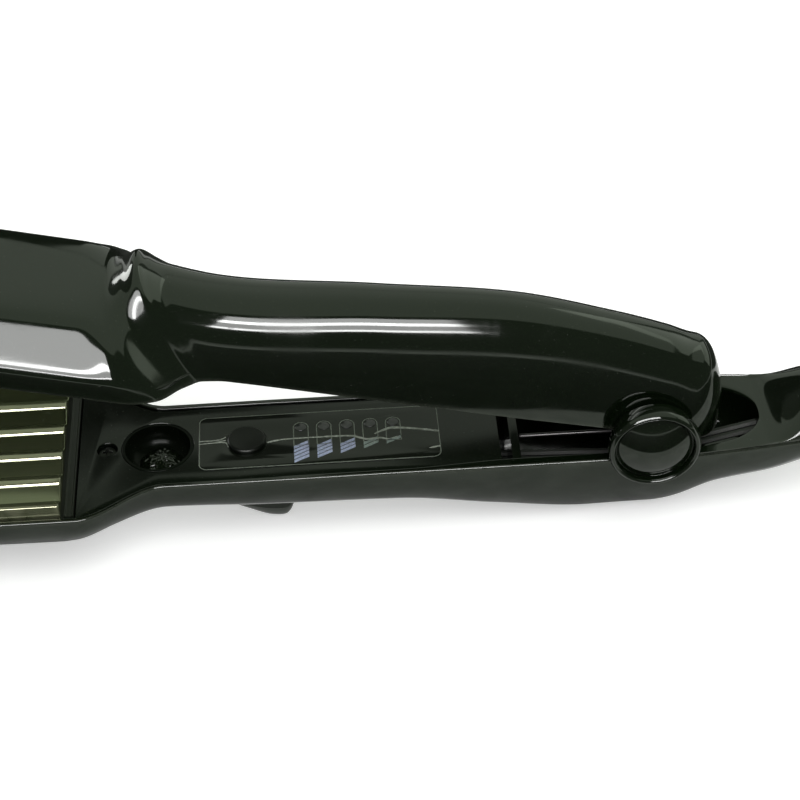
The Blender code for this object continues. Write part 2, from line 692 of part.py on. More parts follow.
def build_lower_shell():
    rings = [lower_ring(x, 0.0) for x in lower_stations(TIP_X, TAIL_END_X)]
    shell = loft("lower_shell", rings, GLOSS_BLACK, LOWER_ARM)
    cavity = loft("lower_cavity_cutter", lower_cavity_rings(), None, LOWER_ARM)
    cut(shell, cavity)
    join(shell, loft("bulkhead_form", bulkhead_rings(), None, LOWER_ARM))

    foot = prism("foot_form", foot_profile(), -FOOT_WIDTH / 2, FOOT_WIDTH / 2, None, LOWER_ARM,
                 along("-Y"))
    soften(foot, 0.0012, 2)
    join(shell, foot)

    for side, name in ((-1, "near"), (1, "far")):
        low, high = sorted((side * CHEEK_INNER, side * HANDLE_HALF_WIDTH))
        ear = cylinder(f"{name}_ear_form", EAR_RADIUS, low, high, None, LOWER_ARM, "Y",
                       (0.0, 0.0, PIVOT_RISE), 40)
        join(shell, ear)
    pin_bore = cylinder("pin_bore_cutter", BORE_RADIUS, -0.02, 0.02, None, LOWER_ARM, "Y",
                        (0.0, 0.0, PIVOT_RISE), 20)
    cut(shell, pin_bore)

    deck_room = contour(lower_half_width, DECK_FRONT_X - GAP, DECK_REAR_X + GAP, RIM_WALL)
    deck_seat = prism("deck_seat_cutter", deck_room, -(DECK_BOTTOM + GAP), OVERCUT, None, LOWER_ARM)
    frame_room = head_outline(RIM_WALL, FRAME_REAR_X + GAP)
    frame_seat = prism("frame_seat_cutter", frame_room, -(frame_floor() + GAP), OVERCUT, None, LOWER_ARM)
    cut(shell, deck_seat, frame_seat)

    screw_place = (DECK_SCREW_X, 0.0, 0.0)
    boss_foot = -float(lower_depth(DECK_SCREW_X)) + 0.5 * WALL
    boss = cylinder("screw_boss_form", SCREW_SHANK_RADIUS + BOSS_WALL, boss_foot, -(DECK_BOTTOM + GAP),
                    None, LOWER_ARM, "Z", screw_place, 16)
    pilot = cylinder("screw_pilot_cutter", SCREW_SHANK_RADIUS + GAP, -(DECK_BOTTOM + SCREW_LENGTH), 0.0,
                     None, LOWER_ARM, "Z", screw_place, 12)
    join(shell, boss)
    cut(shell, pilot)
    for number, (post_x, post_y) in enumerate(board_posts()):
        foot_z = -float(lower_depth(post_x)) + 0.5 * WALL
        post = cylinder(f"board_post_form_{number}", POST_RADIUS, foot_z, board_bottom() - GAP, None,
                        LOWER_ARM, "Z", (post_x, post_y, 0.0), 10)
        join(shell, post)

    tongue_slot = box("tongue_slot_cutter",
                      (BULKHEAD_X - BULKHEAD_THICKNESS - 0.001, -0.0044, -(DECK_BOTTOM + GAP)),
                      (BULKHEAD_X + 0.001, 0.0044, -(DECK_DROP + 0.0005)), None, LOWER_ARM)
    lead_pass = cylinder("bulkhead_lead_cutter", LEAD_PASS_RADIUS, BULKHEAD_X - 0.006, BULKHEAD_X + 0.004,
                         None, LOWER_ARM, "X", (0.0, 0.0, lead_height()), 12)
    channel = cylinder("lead_channel_cutter", LEAD_CHANNEL, CAVITY_END_X - 0.006, SOCKET_FLOOR_X + OVERCUT,
                       None, LOWER_ARM, "X", (0.0, 0.0, -LEAD_CHANNEL), 16)
    socket = cylinder("gland_socket_cutter", SOCKET_RADIUS, SOCKET_FLOOR_X, TAIL_END_X + 0.002, None,
                      LOWER_ARM, "X", (0.0, 0.0, 0.0), 32)
    cut(shell, tongue_slot, lead_pass, channel, socket)
    return shell


# ---- Plate frames, crimping plates and what heats them ----------------------------------------
def frame_floor():
    """Distance of the frame's underside from its arm's rim plane."""
    return PLATE_BASE - WAVE_BASE + GAP + FRAME_LEDGE


def crimp_wave(y):
    """Height of the lower plate's ridges above the rim plane: a triangle wave with rounded crests,
    z = base + depth (1 + asin(k cos p) / asin k) / 2 with p one turn for each ridge pitch, so that
    the first and last crests lie on the plate's edges.
    """
    phase = 2.0 * math.pi * (y + PLATE_WIDTH / 2) / RIDGE_PITCH
    rounded = np.arcsin(RIDGE_SHARPNESS * np.cos(phase)) / math.asin(RIDGE_SHARPNESS)
    return WAVE_BASE + RIDGE_DEPTH * (0.5 + 0.5 * rounded)


def build_crimp_plate(name, arm, inward):
    """Cast plate with ridges along its length; inward is the way from the rim plane into the arm."""
    y = np.linspace(-PLATE_WIDTH / 2, PLATE_WIDTH / 2, 10 * (RIDGE_COUNT - 1) + 1)
    back = WAVE_BASE - PLATE_BASE
    if inward < 0:
        face = crimp_wave(y)
        outline = list(zip(y, face)) + [(y[-1], back), (y[0], back)]
    else:
        face = crimp_wave(y) + HAIR_GAP - PIVOT_RISE
        outline = list(zip(y, face)) + [(y[-1], -back), (y[0], -back)]
    lengthwise = Matrix.Rotation(math.radians(90.0), 4, "Z") @ Matrix.Rotation(math.radians(90.0), 4, "X")
    return prism(name, outline, PLATE_FRONT_X, PLATE_REAR_X, CHAMPAGNE, arm, lengthwise)


def build_plate_frame(name, arm, inward):
    """Heat-resistant frame: a ledge under the plate's edge, the nose block and the rear bar."""
    ledge_top = PLATE_BASE - WAVE_BASE + GAP
    low, high = sorted((inward * frame_floor(), -inward * FRAME_STAND))
    inset = RIM_WALL + GAP
    frame = prism(name, head_outline(inset, FRAME_REAR_X), low, high, HEAT_BLACK, arm)
    bed_low, bed_high = sorted((inward * ledge_top, -inward * (FRAME_STAND + OVERCUT)))
    bed = box(name + "_bed_cutter", (PLATE_FRONT_X - GAP, -2 * HEAD_HALF_WIDTH, bed_low),
              (FRAME_REAR_X - FRAME_BAR, 2 * HEAD_HALF_WIDTH, bed_high), None, arm)
    reach = 2 * LEDGE_REACH
    window = prism(name + "_window_cutter",
                   rounded_rectangle(PLATE_LENGTH - reach, PLATE_WIDTH - reach, 0.002, PLATE_CENTRE_X),
                   low - OVERCUT, high + OVERCUT, None, arm)
    return cut(frame, bed, window)


def build_heating(prefix, arm, inward):
    """Heater behind the plate, the sheet clamp that presses it on, and the felt behind that."""
    back = PLATE_BASE - WAVE_BASE + GAP
    layers = (
        ("heater", HEATER_LENGTH, HEATER_WIDTH, HEATER_THICKNESS, MICA),
        ("heater_clamp", HEATER_LENGTH + 2 * CLAMP_MARGIN, HEATER_WIDTH + 3 * CLAMP_MARGIN,
         CLAMP_THICKNESS, ZINC),
        ("insulator", HEATER_LENGTH - 2 * CLAMP_MARGIN, HEATER_WIDTH - CLAMP_MARGIN, INSULATOR_THICKNESS,
         FELT),
    )
    made = {}
    for layer, length, width, thickness, look in layers:
        low, high = sorted((inward * back, inward * (back + thickness)))
        outline = rounded_rectangle(length, width, 0.0015, PLATE_CENTRE_X, 0.0, 2)
        made[layer] = prism(f"{prefix}_{layer}", outline, low, high, look, arm)
        back += thickness + GAP
    for end in (-1, 1):
        x = PLATE_CENTRE_X + end * (HEATER_LENGTH / 2 + GAP + CLAMP_THICKNESS / 2)
        low, high = sorted((inward * (PLATE_BASE - WAVE_BASE + GAP),
                            inward * (back - INSULATOR_THICKNESS - 2 * GAP - CLAMP_THICKNESS / 2)))
        half = CLAMP_THICKNESS / 2
        leg = box(f"{prefix}_clamp_leg_form_{end}", (x - half, -CLAMP_LEG_WIDTH / 2, low),
                  (x + half, CLAMP_LEG_WIDTH / 2, high), None, arm)
        join(made["heater_clamp"], leg)


def build_sensors():
    """Thermal fuse and temperature sensor, side by side on the lower clamp's back."""
    row_y = HEATER_WIDTH / 2 + 0.0012
    height = -(PLATE_BASE - WAVE_BASE + GAP + HEATER_THICKNESS + 2 * GAP + CLAMP_THICKNESS + 0.0014)
    turned("thermal_fuse", [(0.0, 0.0060), (0.0009, 0.0058), (0.0014, 0.0050), (0.0014, -0.0040),
                            (0.0007, -0.0050), (0.0007, -0.0075), (0.0, -0.0075)],
           FUSE_METAL, LOWER_ARM, "X", (PLATE_CENTRE_X + 0.012, row_y, height), 14)
    turned("temperature_sensor", [(0.0, 0.0018), (0.0008, 0.0016), (0.0013, 0.0009), (0.0014, 0.0),
                                  (0.0013, -0.0012), (0.0008, -0.0030), (0.0, -0.0030)],
           COMPONENT_BLACK, LOWER_ARM, "X", (PLATE_CENTRE_X - 0.012, row_y, height), 12)


# ---- Deck and what is set in it ---------------------------------------------------------------
def window_places():
    return [WINDOW_FRONT_X + WINDOW_PITCH * k for k in range(WINDOW_COUNT)]


def capsule(width, length, centre_x, centre_y, steps=6):
    """Window outline, narrow along X, with a round far end and a square near end."""
    radius = width / 2
    loop = [(centre_x - radius, centre_y - length / 2), (centre_x + radius, centre_y - length / 2)]
    for k in range(steps + 1):
        angle = math.pi * k / steps
        x = centre_x + radius * math.cos(angle)
        loop.append((x, centre_y + length / 2 - radius + radius * math.sin(angle)))
    return loop


def bowl_profile(radius, depth, wall):
    """Cup with a spherical hollow: lip, hollow, and the wall round it, all from the hollow's sphere."""
    sphere = (radius**2 + depth**2) / (2 * depth)
    inner = []
    for k in range(6):
        r = radius * (1 - k / 5)
        inner.append((r, sphere - depth - math.sqrt(sphere**2 - r**2)))
    outer = [(0.0, -depth - wall)]
    for k in range(1, 5):
        r = (radius + 0.5 * wall) * k / 5
        outer.append((r, sphere - depth - math.sqrt((sphere + wall) ** 2 - r**2)))
    return inner, outer


def screw_seat_profile():
    """Countersunk hole for a deck screw, a gap wider than the screw all the way down."""
    wide = SCREW_HEAD_RADIUS + GAP
    narrow = SCREW_SHANK_RADIUS + 2 * GAP
    below = -(DECK_BOTTOM + 4 * OVERCUT)
    return [(0.0, OVERCUT), (wide, OVERCUT), (wide, -(DECK_DROP + SCREW_RECESS)),
            (narrow, -(DECK_BOTTOM - 0.0004)), (narrow, below), (0.0, below)]


def build_guide_cup():
    inner, outer = bowl_profile(GUIDE_RADIUS, GUIDE_DEPTH, GUIDE_WALL)
    lip = GUIDE_RADIUS + GUIDE_WALL
    flange_top = -(DECK_THICKNESS + GAP)
    flange_bottom = flange_top - GUIDE_WALL
    flange = lip + 0.0007
    profile = [inner[-1]] + inner[::-1][1:] + [(lip, 0.0), (lip, flange_top), (flange, flange_top),
                                               (flange, flange_bottom)] + outer[::-1]
    return turned("guide_cup", profile, GLOSS_BLACK, LOWER_ARM, "Z", (GUIDE_X, 0.0, -DECK_DROP), 28)


def build_deck():
    outline = contour(lower_half_width, DECK_FRONT_X, DECK_REAR_X, RIM_WALL + GAP, 24)
    label_bed = LABEL_THICKNESS + GAP
    deck = prism("lower_deck", outline, -DECK_BOTTOM, -DECK_DROP, SATIN_BLACK, LOWER_ARM)
    tongue = box("deck_tongue_form", (DECK_REAR_X - 0.004, -0.0040, -(DECK_BOTTOM - 0.0002)),
                 (BULKHEAD_X - 0.0006, 0.0040, -(DECK_DROP + 0.0009)), None, LOWER_ARM)
    join(deck, tongue)
    cup_hole = cylinder("cup_hole_cutter", GUIDE_RADIUS + GUIDE_WALL + GAP, -0.01, 0.01, None, LOWER_ARM, "Z",
                        (GUIDE_X, 0.0, 0.0), 32)
    screw_seat = turned("deck_screw_seat_cutter", screw_seat_profile(), None, LOWER_ARM, "Z",
                        (DECK_SCREW_X, 0.0, 0.0), 20)
    bed = prism("label_bed_cutter",
                rounded_rectangle(LABEL_LENGTH + 2 * GAP, LABEL_WIDTH + 2 * GAP, LABEL_CORNER + GAP,
                                  LABEL_CENTRE_X),
                -(DECK_DROP + label_bed), OVERCUT, None, LOWER_ARM)
    button_hole = cylinder("button_hole_cutter", BUTTON_RADIUS + GAP, -0.01, 0.01, None, LOWER_ARM, "Z",
                           (BUTTON_X, 0.0, 0.0), 28)
    cut(deck, cup_hole, screw_seat, bed, button_hole)
    for number, x in enumerate(window_places()):
        hole = prism(f"window_cutter_{number}",
                     capsule(WINDOW_WIDTH + 2 * GAP, WINDOW_LENGTH + 2 * GAP, x, WINDOW_Y),
                     -0.01, 0.01, None, LOWER_ARM)
        cut(deck, hole)
    return deck


def build_label():
    outline = rounded_rectangle(LABEL_LENGTH, LABEL_WIDTH, LABEL_CORNER, LABEL_CENTRE_X)
    button_hole = [(BUTTON_X + (BUTTON_RADIUS + GAP) * math.cos(a), (BUTTON_RADIUS + GAP) * math.sin(a))
                   for a in np.linspace(0.0, 2 * math.pi, 29)[:-1]]
    windows = [capsule(WINDOW_WIDTH + 2 * GAP, WINDOW_LENGTH + 2 * GAP, x, WINDOW_Y) for x in window_places()]
    return prism("control_label", outline, -(DECK_DROP + LABEL_THICKNESS), -DECK_DROP, LABEL_FILM, LOWER_ARM,
                 None, (button_hole, *windows))


def build_button():
    """Dished button cap, its flange under the deck and the stem over the switch."""
    top = BUTTON_STAND - DECK_DROP
    flange_top = -(DECK_BOTTOM + GAP)
    stem = 0.0018
    profile = [(0.0, top - 0.0003), (0.6 * BUTTON_RADIUS, top - 0.0001), (0.86 * BUTTON_RADIUS, top),
               (0.96 * BUTTON_RADIUS, top - 0.0002), (BUTTON_RADIUS, top - 0.0006), (BUTTON_RADIUS, flange_top),
               (BUTTON_RADIUS + 0.0010, flange_top), (BUTTON_RADIUS + 0.0010, flange_top - 0.0008),
               (stem, flange_top - 0.0008), (stem, stem_bottom()), (0.0, stem_bottom())]
    return turned("power_button", profile, GLOSS_BLACK, LOWER_ARM, "Z", (BUTTON_X, 0.0, 0.0), 28)


def stem_bottom():
    """Underside of the button's stem, its travel and a gap above the pressed switch plunger."""
    return -(DECK_BOTTOM + 2 * GAP + 0.0008)


def build_windows_and_lamps():
    """A comb of light guides, one in each window, over a strip of lamps on the board."""
    lamp_top = BOARD_TOP + GAP + LAMP_HEIGHT
    comb_low = lamp_top + GAP
    comb_high = -(DECK_BOTTOM + GAP)
    first, last = window_places()[0], window_places()[-1]
    reach = WINDOW_WIDTH / 2
    guides = box("indicator_lenses", (first - reach, WINDOW_Y - GUIDE_BAR_WIDTH / 2, comb_low),
                 (last + reach, WINDOW_Y + GUIDE_BAR_WIDTH / 2, comb_high), LENS_SMOKE, LOWER_ARM)
    strip_top = BOARD_TOP + GAP + LAMP_HEIGHT / 2
    lamps = box("indicator_lamps", (first - reach, WINDOW_Y - LAMP_STRIP_WIDTH / 2, BOARD_TOP + GAP),
                (last + reach, WINDOW_Y + LAMP_STRIP_WIDTH / 2, strip_top), LED_WHITE, LOWER_ARM)
    for number, x in enumerate(window_places()):
        guide = prism(f"lens_form_{number}", capsule(WINDOW_WIDTH, WINDOW_LENGTH, x, WINDOW_Y),
                      (comb_low + comb_high) / 2, -DECK_DROP, None, LOWER_ARM)
        lamp = box(f"lamp_form_{number}",
                   (x - LAMP_LENGTH / 2, WINDOW_Y - LAMP_WIDTH / 2, strip_top - LAMP_HEIGHT / 4),
                   (x + LAMP_LENGTH / 2, WINDOW_Y + LAMP_WIDTH / 2, lamp_top), None, LOWER_ARM)
        join(guides, guide)
        join(lamps, lamp)


def build_screw(name, x, arm, inward):
    """Countersunk screw whose head lies under the surface of its deck."""
    head_top = inward * (DECK_DROP + SCREW_RECESS)
    profile = [(0.0, -0.0005), (0.0011, -0.0004), (0.0012, 0.0), (SCREW_HEAD_RADIUS, 0.0),
               (SCREW_SHANK_RADIUS, -(DECK_THICKNESS - SCREW_RECESS)),
               (SCREW_SHANK_RADIUS, -(SCREW_LENGTH - 0.0016)), (0.0006, -SCREW_LENGTH), (0.0, -SCREW_LENGTH)]
    axis = "Z" if inward < 0 else "-Z"
    return turned(name, profile, STEEL, arm, axis, (x, 0.0, head_top), 16)


# ---- Board ------------------------------------------------------------------------------------
def board_bottom():
    return BOARD_TOP - BOARD_THICKNESS


def lead_height():
    """Height of the leads where they pass the bulkhead."""
    return board_bottom() - 0.0022


def board_posts():
    reach_x = BOARD_LENGTH / 2 - 0.004
    return [(BOARD_CENTRE_X + sx * reach_x, sy * POST_Y) for sx in (-1, 1) for sy in (-1, 1)]


def build_board():
    outline = rounded_rectangle(BOARD_LENGTH, BOARD_WIDTH, 0.001, BOARD_CENTRE_X, 0.0, 2)
    prism("control_board", outline, board_bottom(), BOARD_TOP, BOARD_GREEN, LOWER_ARM)
    seat = BOARD_TOP + GAP
    half = SWITCH_SIZE / 2
    switch = box("button_switch", (BUTTON_X - half, -half, seat), (BUTTON_X + half, half, seat + 0.0022),
                 COMPONENT_BLACK, LOWER_ARM)
    plunger_top = stem_bottom() - BUTTON_TRAVEL - GAP
    plunger = cylinder("switch_plunger_form", 0.0016, seat + 0.0010, plunger_top, None, LOWER_ARM, "Z",
                       (BUTTON_X, 0.0, 0.0), 14)
    join(switch, plunger)
    capacitor_x = BOARD_CENTRE_X + BOARD_LENGTH / 2 - 0.007
    box("mains_capacitor", (capacitor_x - 0.0045, -0.0068, seat),
        (capacitor_x + 0.0045, -0.0015, seat + 0.0043), COMPONENT_BLUE, LOWER_ARM, 0.0004)
    box("triac", (capacitor_x - 0.0050, 0.0012, seat), (capacitor_x + 0.0042, 0.0058, seat + 0.0039),
        COMPONENT_BLACK, LOWER_ARM, 0.0003)


# ---- Upper shell ------------------------------------------------------------------------------
def upper_stations(start, end):
    nose_part = start + NOSE_LENGTH * (1.0 - np.cos(np.radians(NOSE_ANGLES)))
    head = np.linspace(TIP_X + NOSE_LENGTH, RIDGE_X - 0.0125, 4)
    dip = RIDGE_X + np.array((-0.0100, -0.0075, -0.0050, -0.0025, 0.0, 0.0020, 0.0050, 0.0090))
    grip = np.linspace(RIDGE_X + 0.0090, KNUCKLE_START_X, 10)
    rear = KNUCKLE_START_X + (KNUCKLE_END_X - KNUCKLE_START_X) * np.sin(np.radians((22.0, 42.0, 60.0, 75.0)))
    every = np.unique(np.round(np.concatenate((nose_part, head, dip, grip, rear)), 6))
    inside = every[(every > start + 0.0004) & (every < end - 0.0004)]
    return np.concatenate(([start], inside, [end]))


def upper_ring(x, offset, over=0.0):
    """One ring of the upper hull: the crown arch, closed along the mating plane."""
    round_off = max(nose(x, TIP_X + offset), BLUNT_TIP)
    width = max(float(upper_half_width(x)) - offset, 0.0006) * round_off
    height = max(float(upper_height(x)) - offset, 0.0006) * round_off
    y, z = arch(width, height, SECTION_POWER, ARCH_POINTS + 2, over)
    lean = guard_sweep(x) * (1.0 - np.clip(z / height, 0.0, 1.0)) ** 1.2
    return list(zip(x + lean, y, z))


def build_upper_shell():
    end = KNUCKLE_END_X - 0.0002
    outer_rings = [upper_ring(x, 0.0) for x in upper_stations(TIP_X, end)]
    shell = loft("upper_shell", outer_rings, GLOSS_BLACK, UPPER_ARM)
    inner_end = KNUCKLE_END_X - 1.6 * WALL
    inner = [upper_ring(x, WALL, OVERCUT) for x in upper_stations(TIP_X + WALL, inner_end)]
    cut(shell, loft("upper_cavity_cutter", inner, None, UPPER_ARM))

    for side, name in ((-1, "near"), (1, "far")):
        outer = side * (KNUCKLE_HALF_WIDTH - 0.0002)
        low, high = sorted((outer, outer - side * LUG_THICKNESS))
        lug = cylinder(f"{name}_lug_form", LUG_RADIUS, low, high, None, UPPER_ARM, "Y", (0.0, 0.0, 0.0), 28)
        join(shell, lug)
    bush_bore = cylinder("bush_bore_cutter", BUSH_RADIUS + GAP, -0.02, 0.02, None, UPPER_ARM, "Y",
                         (0.0, 0.0, 0.0), 20)
    cut(shell, bush_bore)

    deck_room = contour(upper_rim_half_width, DECK_FRONT_X - GAP, BULKHEAD_X + GAP, RIM_WALL)
    deck_seat = prism("upper_deck_seat_cutter", deck_room, -OVERCUT, DECK_BOTTOM + GAP, None, UPPER_ARM)
    frame_room = head_outline(RIM_WALL, FRAME_REAR_X + GAP)
    frame_seat = prism("upper_frame_seat_cutter", frame_room, -OVERCUT, frame_floor() + GAP, None, UPPER_ARM)
    cut(shell, deck_seat, frame_seat)
    for number, x in enumerate(upper_screw_places()):
        crown = float(upper_height(x)) - 0.6 * WALL
        boss = cylinder(f"upper_boss_form_{number}", SCREW_SHANK_RADIUS + BOSS_WALL, DECK_BOTTOM + GAP, crown,
                        None, UPPER_ARM, "Z", (x, 0.0, 0.0), 14)
        pilot = cylinder(f"upper_pilot_cutter_{number}", SCREW_SHANK_RADIUS + GAP, 0.0,
                         DECK_BOTTOM + SCREW_LENGTH, None, UPPER_ARM, "Z", (x, 0.0, 0.0), 12)
        join(shell, boss)
        cut(shell, pilot)
    return shell


def upper_screw_places():
    return (GRIP_FRONT_X, BULKHEAD_X - 0.012)


def build_upper_deck():
    outline = contour(upper_rim_half_width, DECK_FRONT_X, BULKHEAD_X, RIM_WALL + GAP, 24)
    deck = prism("upper_deck", outline, DECK_DROP, DECK_BOTTOM, SATIN_BLACK, UPPER_ARM)
    reach = PIVOT_RISE + GUIDE_DEPTH - PEG_CLEARANCE
    peg = turned("guide_peg_form",
                 [(0.0, DECK_BOTTOM - 0.0005), (PEG_RADIUS, DECK_BOTTOM - 0.0005), (PEG_RADIUS, -0.55 * reach),
                  (0.88 * PEG_RADIUS, -0.76 * reach), (0.62 * PEG_RADIUS, -0.91 * reach),
                  (0.30 * PEG_RADIUS, -0.985 * reach), (0.0, -reach)],
                 None, UPPER_ARM, "Z", (GUIDE_X, 0.0, 0.0), 24)
    join(deck, peg)
    for number, x in enumerate(upper_screw_places()):
        seat = turned(f"upper_screw_seat_cutter_{number}", screw_seat_profile(), None, UPPER_ARM, "-Z",
                      (x, 0.0, 0.0), 20)
        cut(deck, seat)
    return deck


# ---- Hinge ------------------------------------------------------------------------------------
def build_hinge():
    centre = (0.0, 0.0, PIVOT_RISE)
    pin_end = HANDLE_HALF_WIDTH - GAP
    cylinder("hinge_pin", PIN_RADIUS, -pin_end, pin_end, STEEL, LOWER_ARM, "Y", centre, 20)
    profile = [(0.0, CAP_DOME), (0.33 * CAP_RADIUS, CAP_DOME - 0.0001), (0.58 * CAP_RADIUS, CAP_DOME - 0.0005),
               (0.74 * CAP_RADIUS, CAP_DOME - 0.0011), (0.78 * CAP_RADIUS, CAP_DOME - 0.0015),
               (0.81 * CAP_RADIUS, CAP_DOME - 0.0012), (0.84 * CAP_RADIUS, CAP_DOME - 0.0002),
               (0.90 * CAP_RADIUS, CAP_DOME + 0.0001), (0.96 * CAP_RADIUS, CAP_DOME - 0.0003),
               (CAP_RADIUS, CAP_DOME - 0.0011), (CAP_RADIUS, 0.0), (0.0, 0.0)]
    for name, axis, side in (("near", "-Y", -1), ("far", "Y", 1)):
        turned(f"{name}_hinge_cap", profile, GLOSS_BLACK, LOWER_ARM, axis,
               (0.0, side * CAP_SEAT, PIVOT_RISE), 32)
    for name, side in (("near", -1), ("far", 1)):
        outer = side * (KNUCKLE_HALF_WIDTH - 0.0002)
        inner = outer - side * LUG_THICKNESS
        low, high = sorted((inner, outer))
        turned(f"{name}_hinge_bush",
               [(BORE_RADIUS, high), (BUSH_RADIUS, high), (BUSH_RADIUS, low), (BORE_RADIUS, low)],
               BUSH_WHITE, UPPER_ARM, "-Y", (0.0, 0.0, 0.0), 20)


def spring_route():
    """Torsion spring in the lower arm's frame: a leg along the cavity, the coils about the pin, and a
    leg along the upper arm, which stands at the opening angle.
    """
    start_y = -0.5 * SPRING_TURNS * SPRING_PITCH
    turns = SPRING_TURNS + 0.5
    steps = int(12 * turns)
    total = 2.0 * math.pi * turns + OPEN_ANGLE
    route = [(-SPRING_LEG, start_y, PIVOT_RISE - SPRING_RADIUS)]
    for k in range(steps + 1):
        angle = total * k / steps
        x = SPRING_RADIUS * math.sin(angle)
        z = -SPRING_RADIUS * math.cos(angle)
        y = start_y + SPRING_PITCH * turns * k / steps
        route.append((x, y, PIVOT_RISE + z))
    away = Vector((-math.cos(OPEN_ANGLE), 0.0, math.sin(OPEN_ANGLE))) * SPRING_LEG * 0.8
    route.append(tuple(Vector(route[-1]) + away))
    return route


# ---- Cord gland and leads ---------------------------------------------------------------------
def build_gland():
    flange_front = SOCKET_FLOOR_X + GAP
    flange_rear = flange_front + GLAND_FLANGE
    flange = SOCKET_RADIUS - GAP
    turned("swivel_gland",
           [(CORD_BORE, GLAND_END_X), (GLAND_RADIUS - 0.0008, GLAND_END_X),
            (GLAND_RADIUS, GLAND_END_X - 0.0008), (GLAND_RADIUS, flange_rear), (flange, flange_rear),
            (flange, flange_front), (CORD_BORE, flange_front)],
           GLAND_BLACK, LOWER_ARM, "X", (0.0, 0.0, 0.0), 32)
    collar_front = flange_rear + GAP
    end = TAIL_END_X + GAP
    turned("tail_collar",
           [(GLAND_RADIUS + GAP, end + COLLAR_STAND), (0.82 * TAIL_RADIUS, end + COLLAR_STAND),
            (0.94 * TAIL_RADIUS, end + 0.7 * COLLAR_STAND), (TAIL_RADIUS, end), (flange, end),
            (flange, collar_front), (GLAND_RADIUS + GAP, collar_front)],
           GLOSS_BLACK, LOWER_ARM, "X", (0.0, 0.0, 0.0), 32)


def smooth_route(points, count):
    """Points along a Catmull-Rom curve through a few places."""
    dots = [Vector(p) for p in points]
    dots = [2 * dots[0] - dots[1]] + dots + [2 * dots[-1] - dots[-2]]
    route = []
    for k in range(count):
        place_on = k / (count - 1) * (len(dots) - 3)
        i = min(int(place_on), len(dots) - 4)
        t = place_on - i
        a, b, c, d = dots[i : i + 4]
        route.append(tuple(0.5 * (2 * b + (c - a) * t + (2 * a - 5 * b + 4 * c - d) * t**2
                                  + (3 * b - a - 3 * c + d) * t**3)))
    return route


def build_leads():
    """Mains leads from the gland to the board, and each heater's lead."""
    under = board_bottom() - GAP - LEAD_RADIUS
    for name, side in (("mains_lead_live", -1), ("mains_lead_neutral", 1)):
        y = side * LEAD_SPACING / 2
        route = [(BOARD_CENTRE_X + 0.020, y, under), (DECK_REAR_X, y, lead_height()),
                 (BULKHEAD_X, y, lead_height()), (-0.018, y, lead_height() - 0.0008),
                 (0.0, y, lead_height() - 0.0012), (CAVITY_END_X - 0.009, y, -0.0075),
                 (CAVITY_END_X + 0.004, y, -LEAD_CHANNEL - 0.0008),
                 (SOCKET_FLOOR_X - GAP, y, -LEAD_CHANNEL + LEAD_RADIUS)]
        wire(name, smooth_route(route, 26), LEAD_RADIUS, LEAD_WHITE, LOWER_ARM)

    heater_middle = PLATE_BASE - WAVE_BASE + GAP + 0.5 * HEATER_THICKNESS
    heater_end = PLATE_CENTRE_X + HEATER_LENGTH / 2 + CLAMP_MARGIN + GAP + LEAD_RADIUS
    board_end = BOARD_CENTRE_X - BOARD_LENGTH / 2 - GAP
    side = HEATER_LEAD_Y
    route = [(heater_end, side + 0.0020, -heater_middle), (FRAME_REAR_X - 0.004, side + 0.0010, -0.0066),
             (DECK_SCREW_X, side + 0.0005, -0.0070), (GUIDE_X, side - 0.0005, -0.0074),
             (board_end, side - 0.0010, BOARD_TOP - 0.5 * BOARD_THICKNESS)]
    wire("lower_heater_lead", smooth_route(route, 16), LEAD_RADIUS, LEAD_WHITE, LOWER_ARM)

    route = [(heater_end, side + 0.0020, heater_middle), (FRAME_REAR_X - 0.004, side + 0.0010, 0.0066),
             (GUIDE_X, side, 0.0062), (GRIP_FRONT_X, side, 0.0050), (HANDLE_X, side, 0.0040),
             (BULKHEAD_X - 0.012, side - 0.0005, 0.0040), (-0.0130, side - 0.0005, 0.0062)]
    wire("upper_heater_lead", smooth_route(route, 24), LEAD_RADIUS, LEAD_WHITE, UPPER_ARM)


build_lower_shell()
build_plate_frame("lower_plate_frame", LOWER_ARM, -1)
build_crimp_plate("lower_crimp_plate", LOWER_ARM, -1)
build_heating("lower", LOWER_ARM, -1)
build_sensors()
build_deck()
build_guide_cup()
build_label()
build_button()
build_windows_and_lamps()
build_screw("deck_screw", DECK_SCREW_X, LOWER_ARM, -1)
build_board()

build_upper_shell()
build_plate_frame("upper_plate_frame", UPPER_ARM, 1)
build_crimp_plate("upper_crimp_plate", UPPER_ARM, 1)
build_heating("upper", UPPER_ARM, 1)
build_upper_deck()
for screw_name, screw_x in zip(("upper_front_screw", "upper_rear_screw"), upper_screw_places()):
    build_screw(screw_name, screw_x, UPPER_ARM, 1)

build_hinge()
wire("torsion_spring", spring_route(), SPRING_WIRE / 2, STEEL, LOWER_ARM, 2)
build_gland()
build_leads()
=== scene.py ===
"""Looks of an open hair crimper: gloss black shells, ridged champagne plates and a printed label.

Metres, +Z up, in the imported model's frame: the origin is on the table under the hinge, +X runs to
the cord end and the near side is -Y. Pieces of the lower arm are worked out with the rim plane at
z = 0, and pieces of the upper arm with the hinge axis as the Y axis and its mating plane at z = 0.
"""
import math
from collections import namedtuple

import bmesh
import bpy
import numpy as np
from mathutils import Matrix, Vector


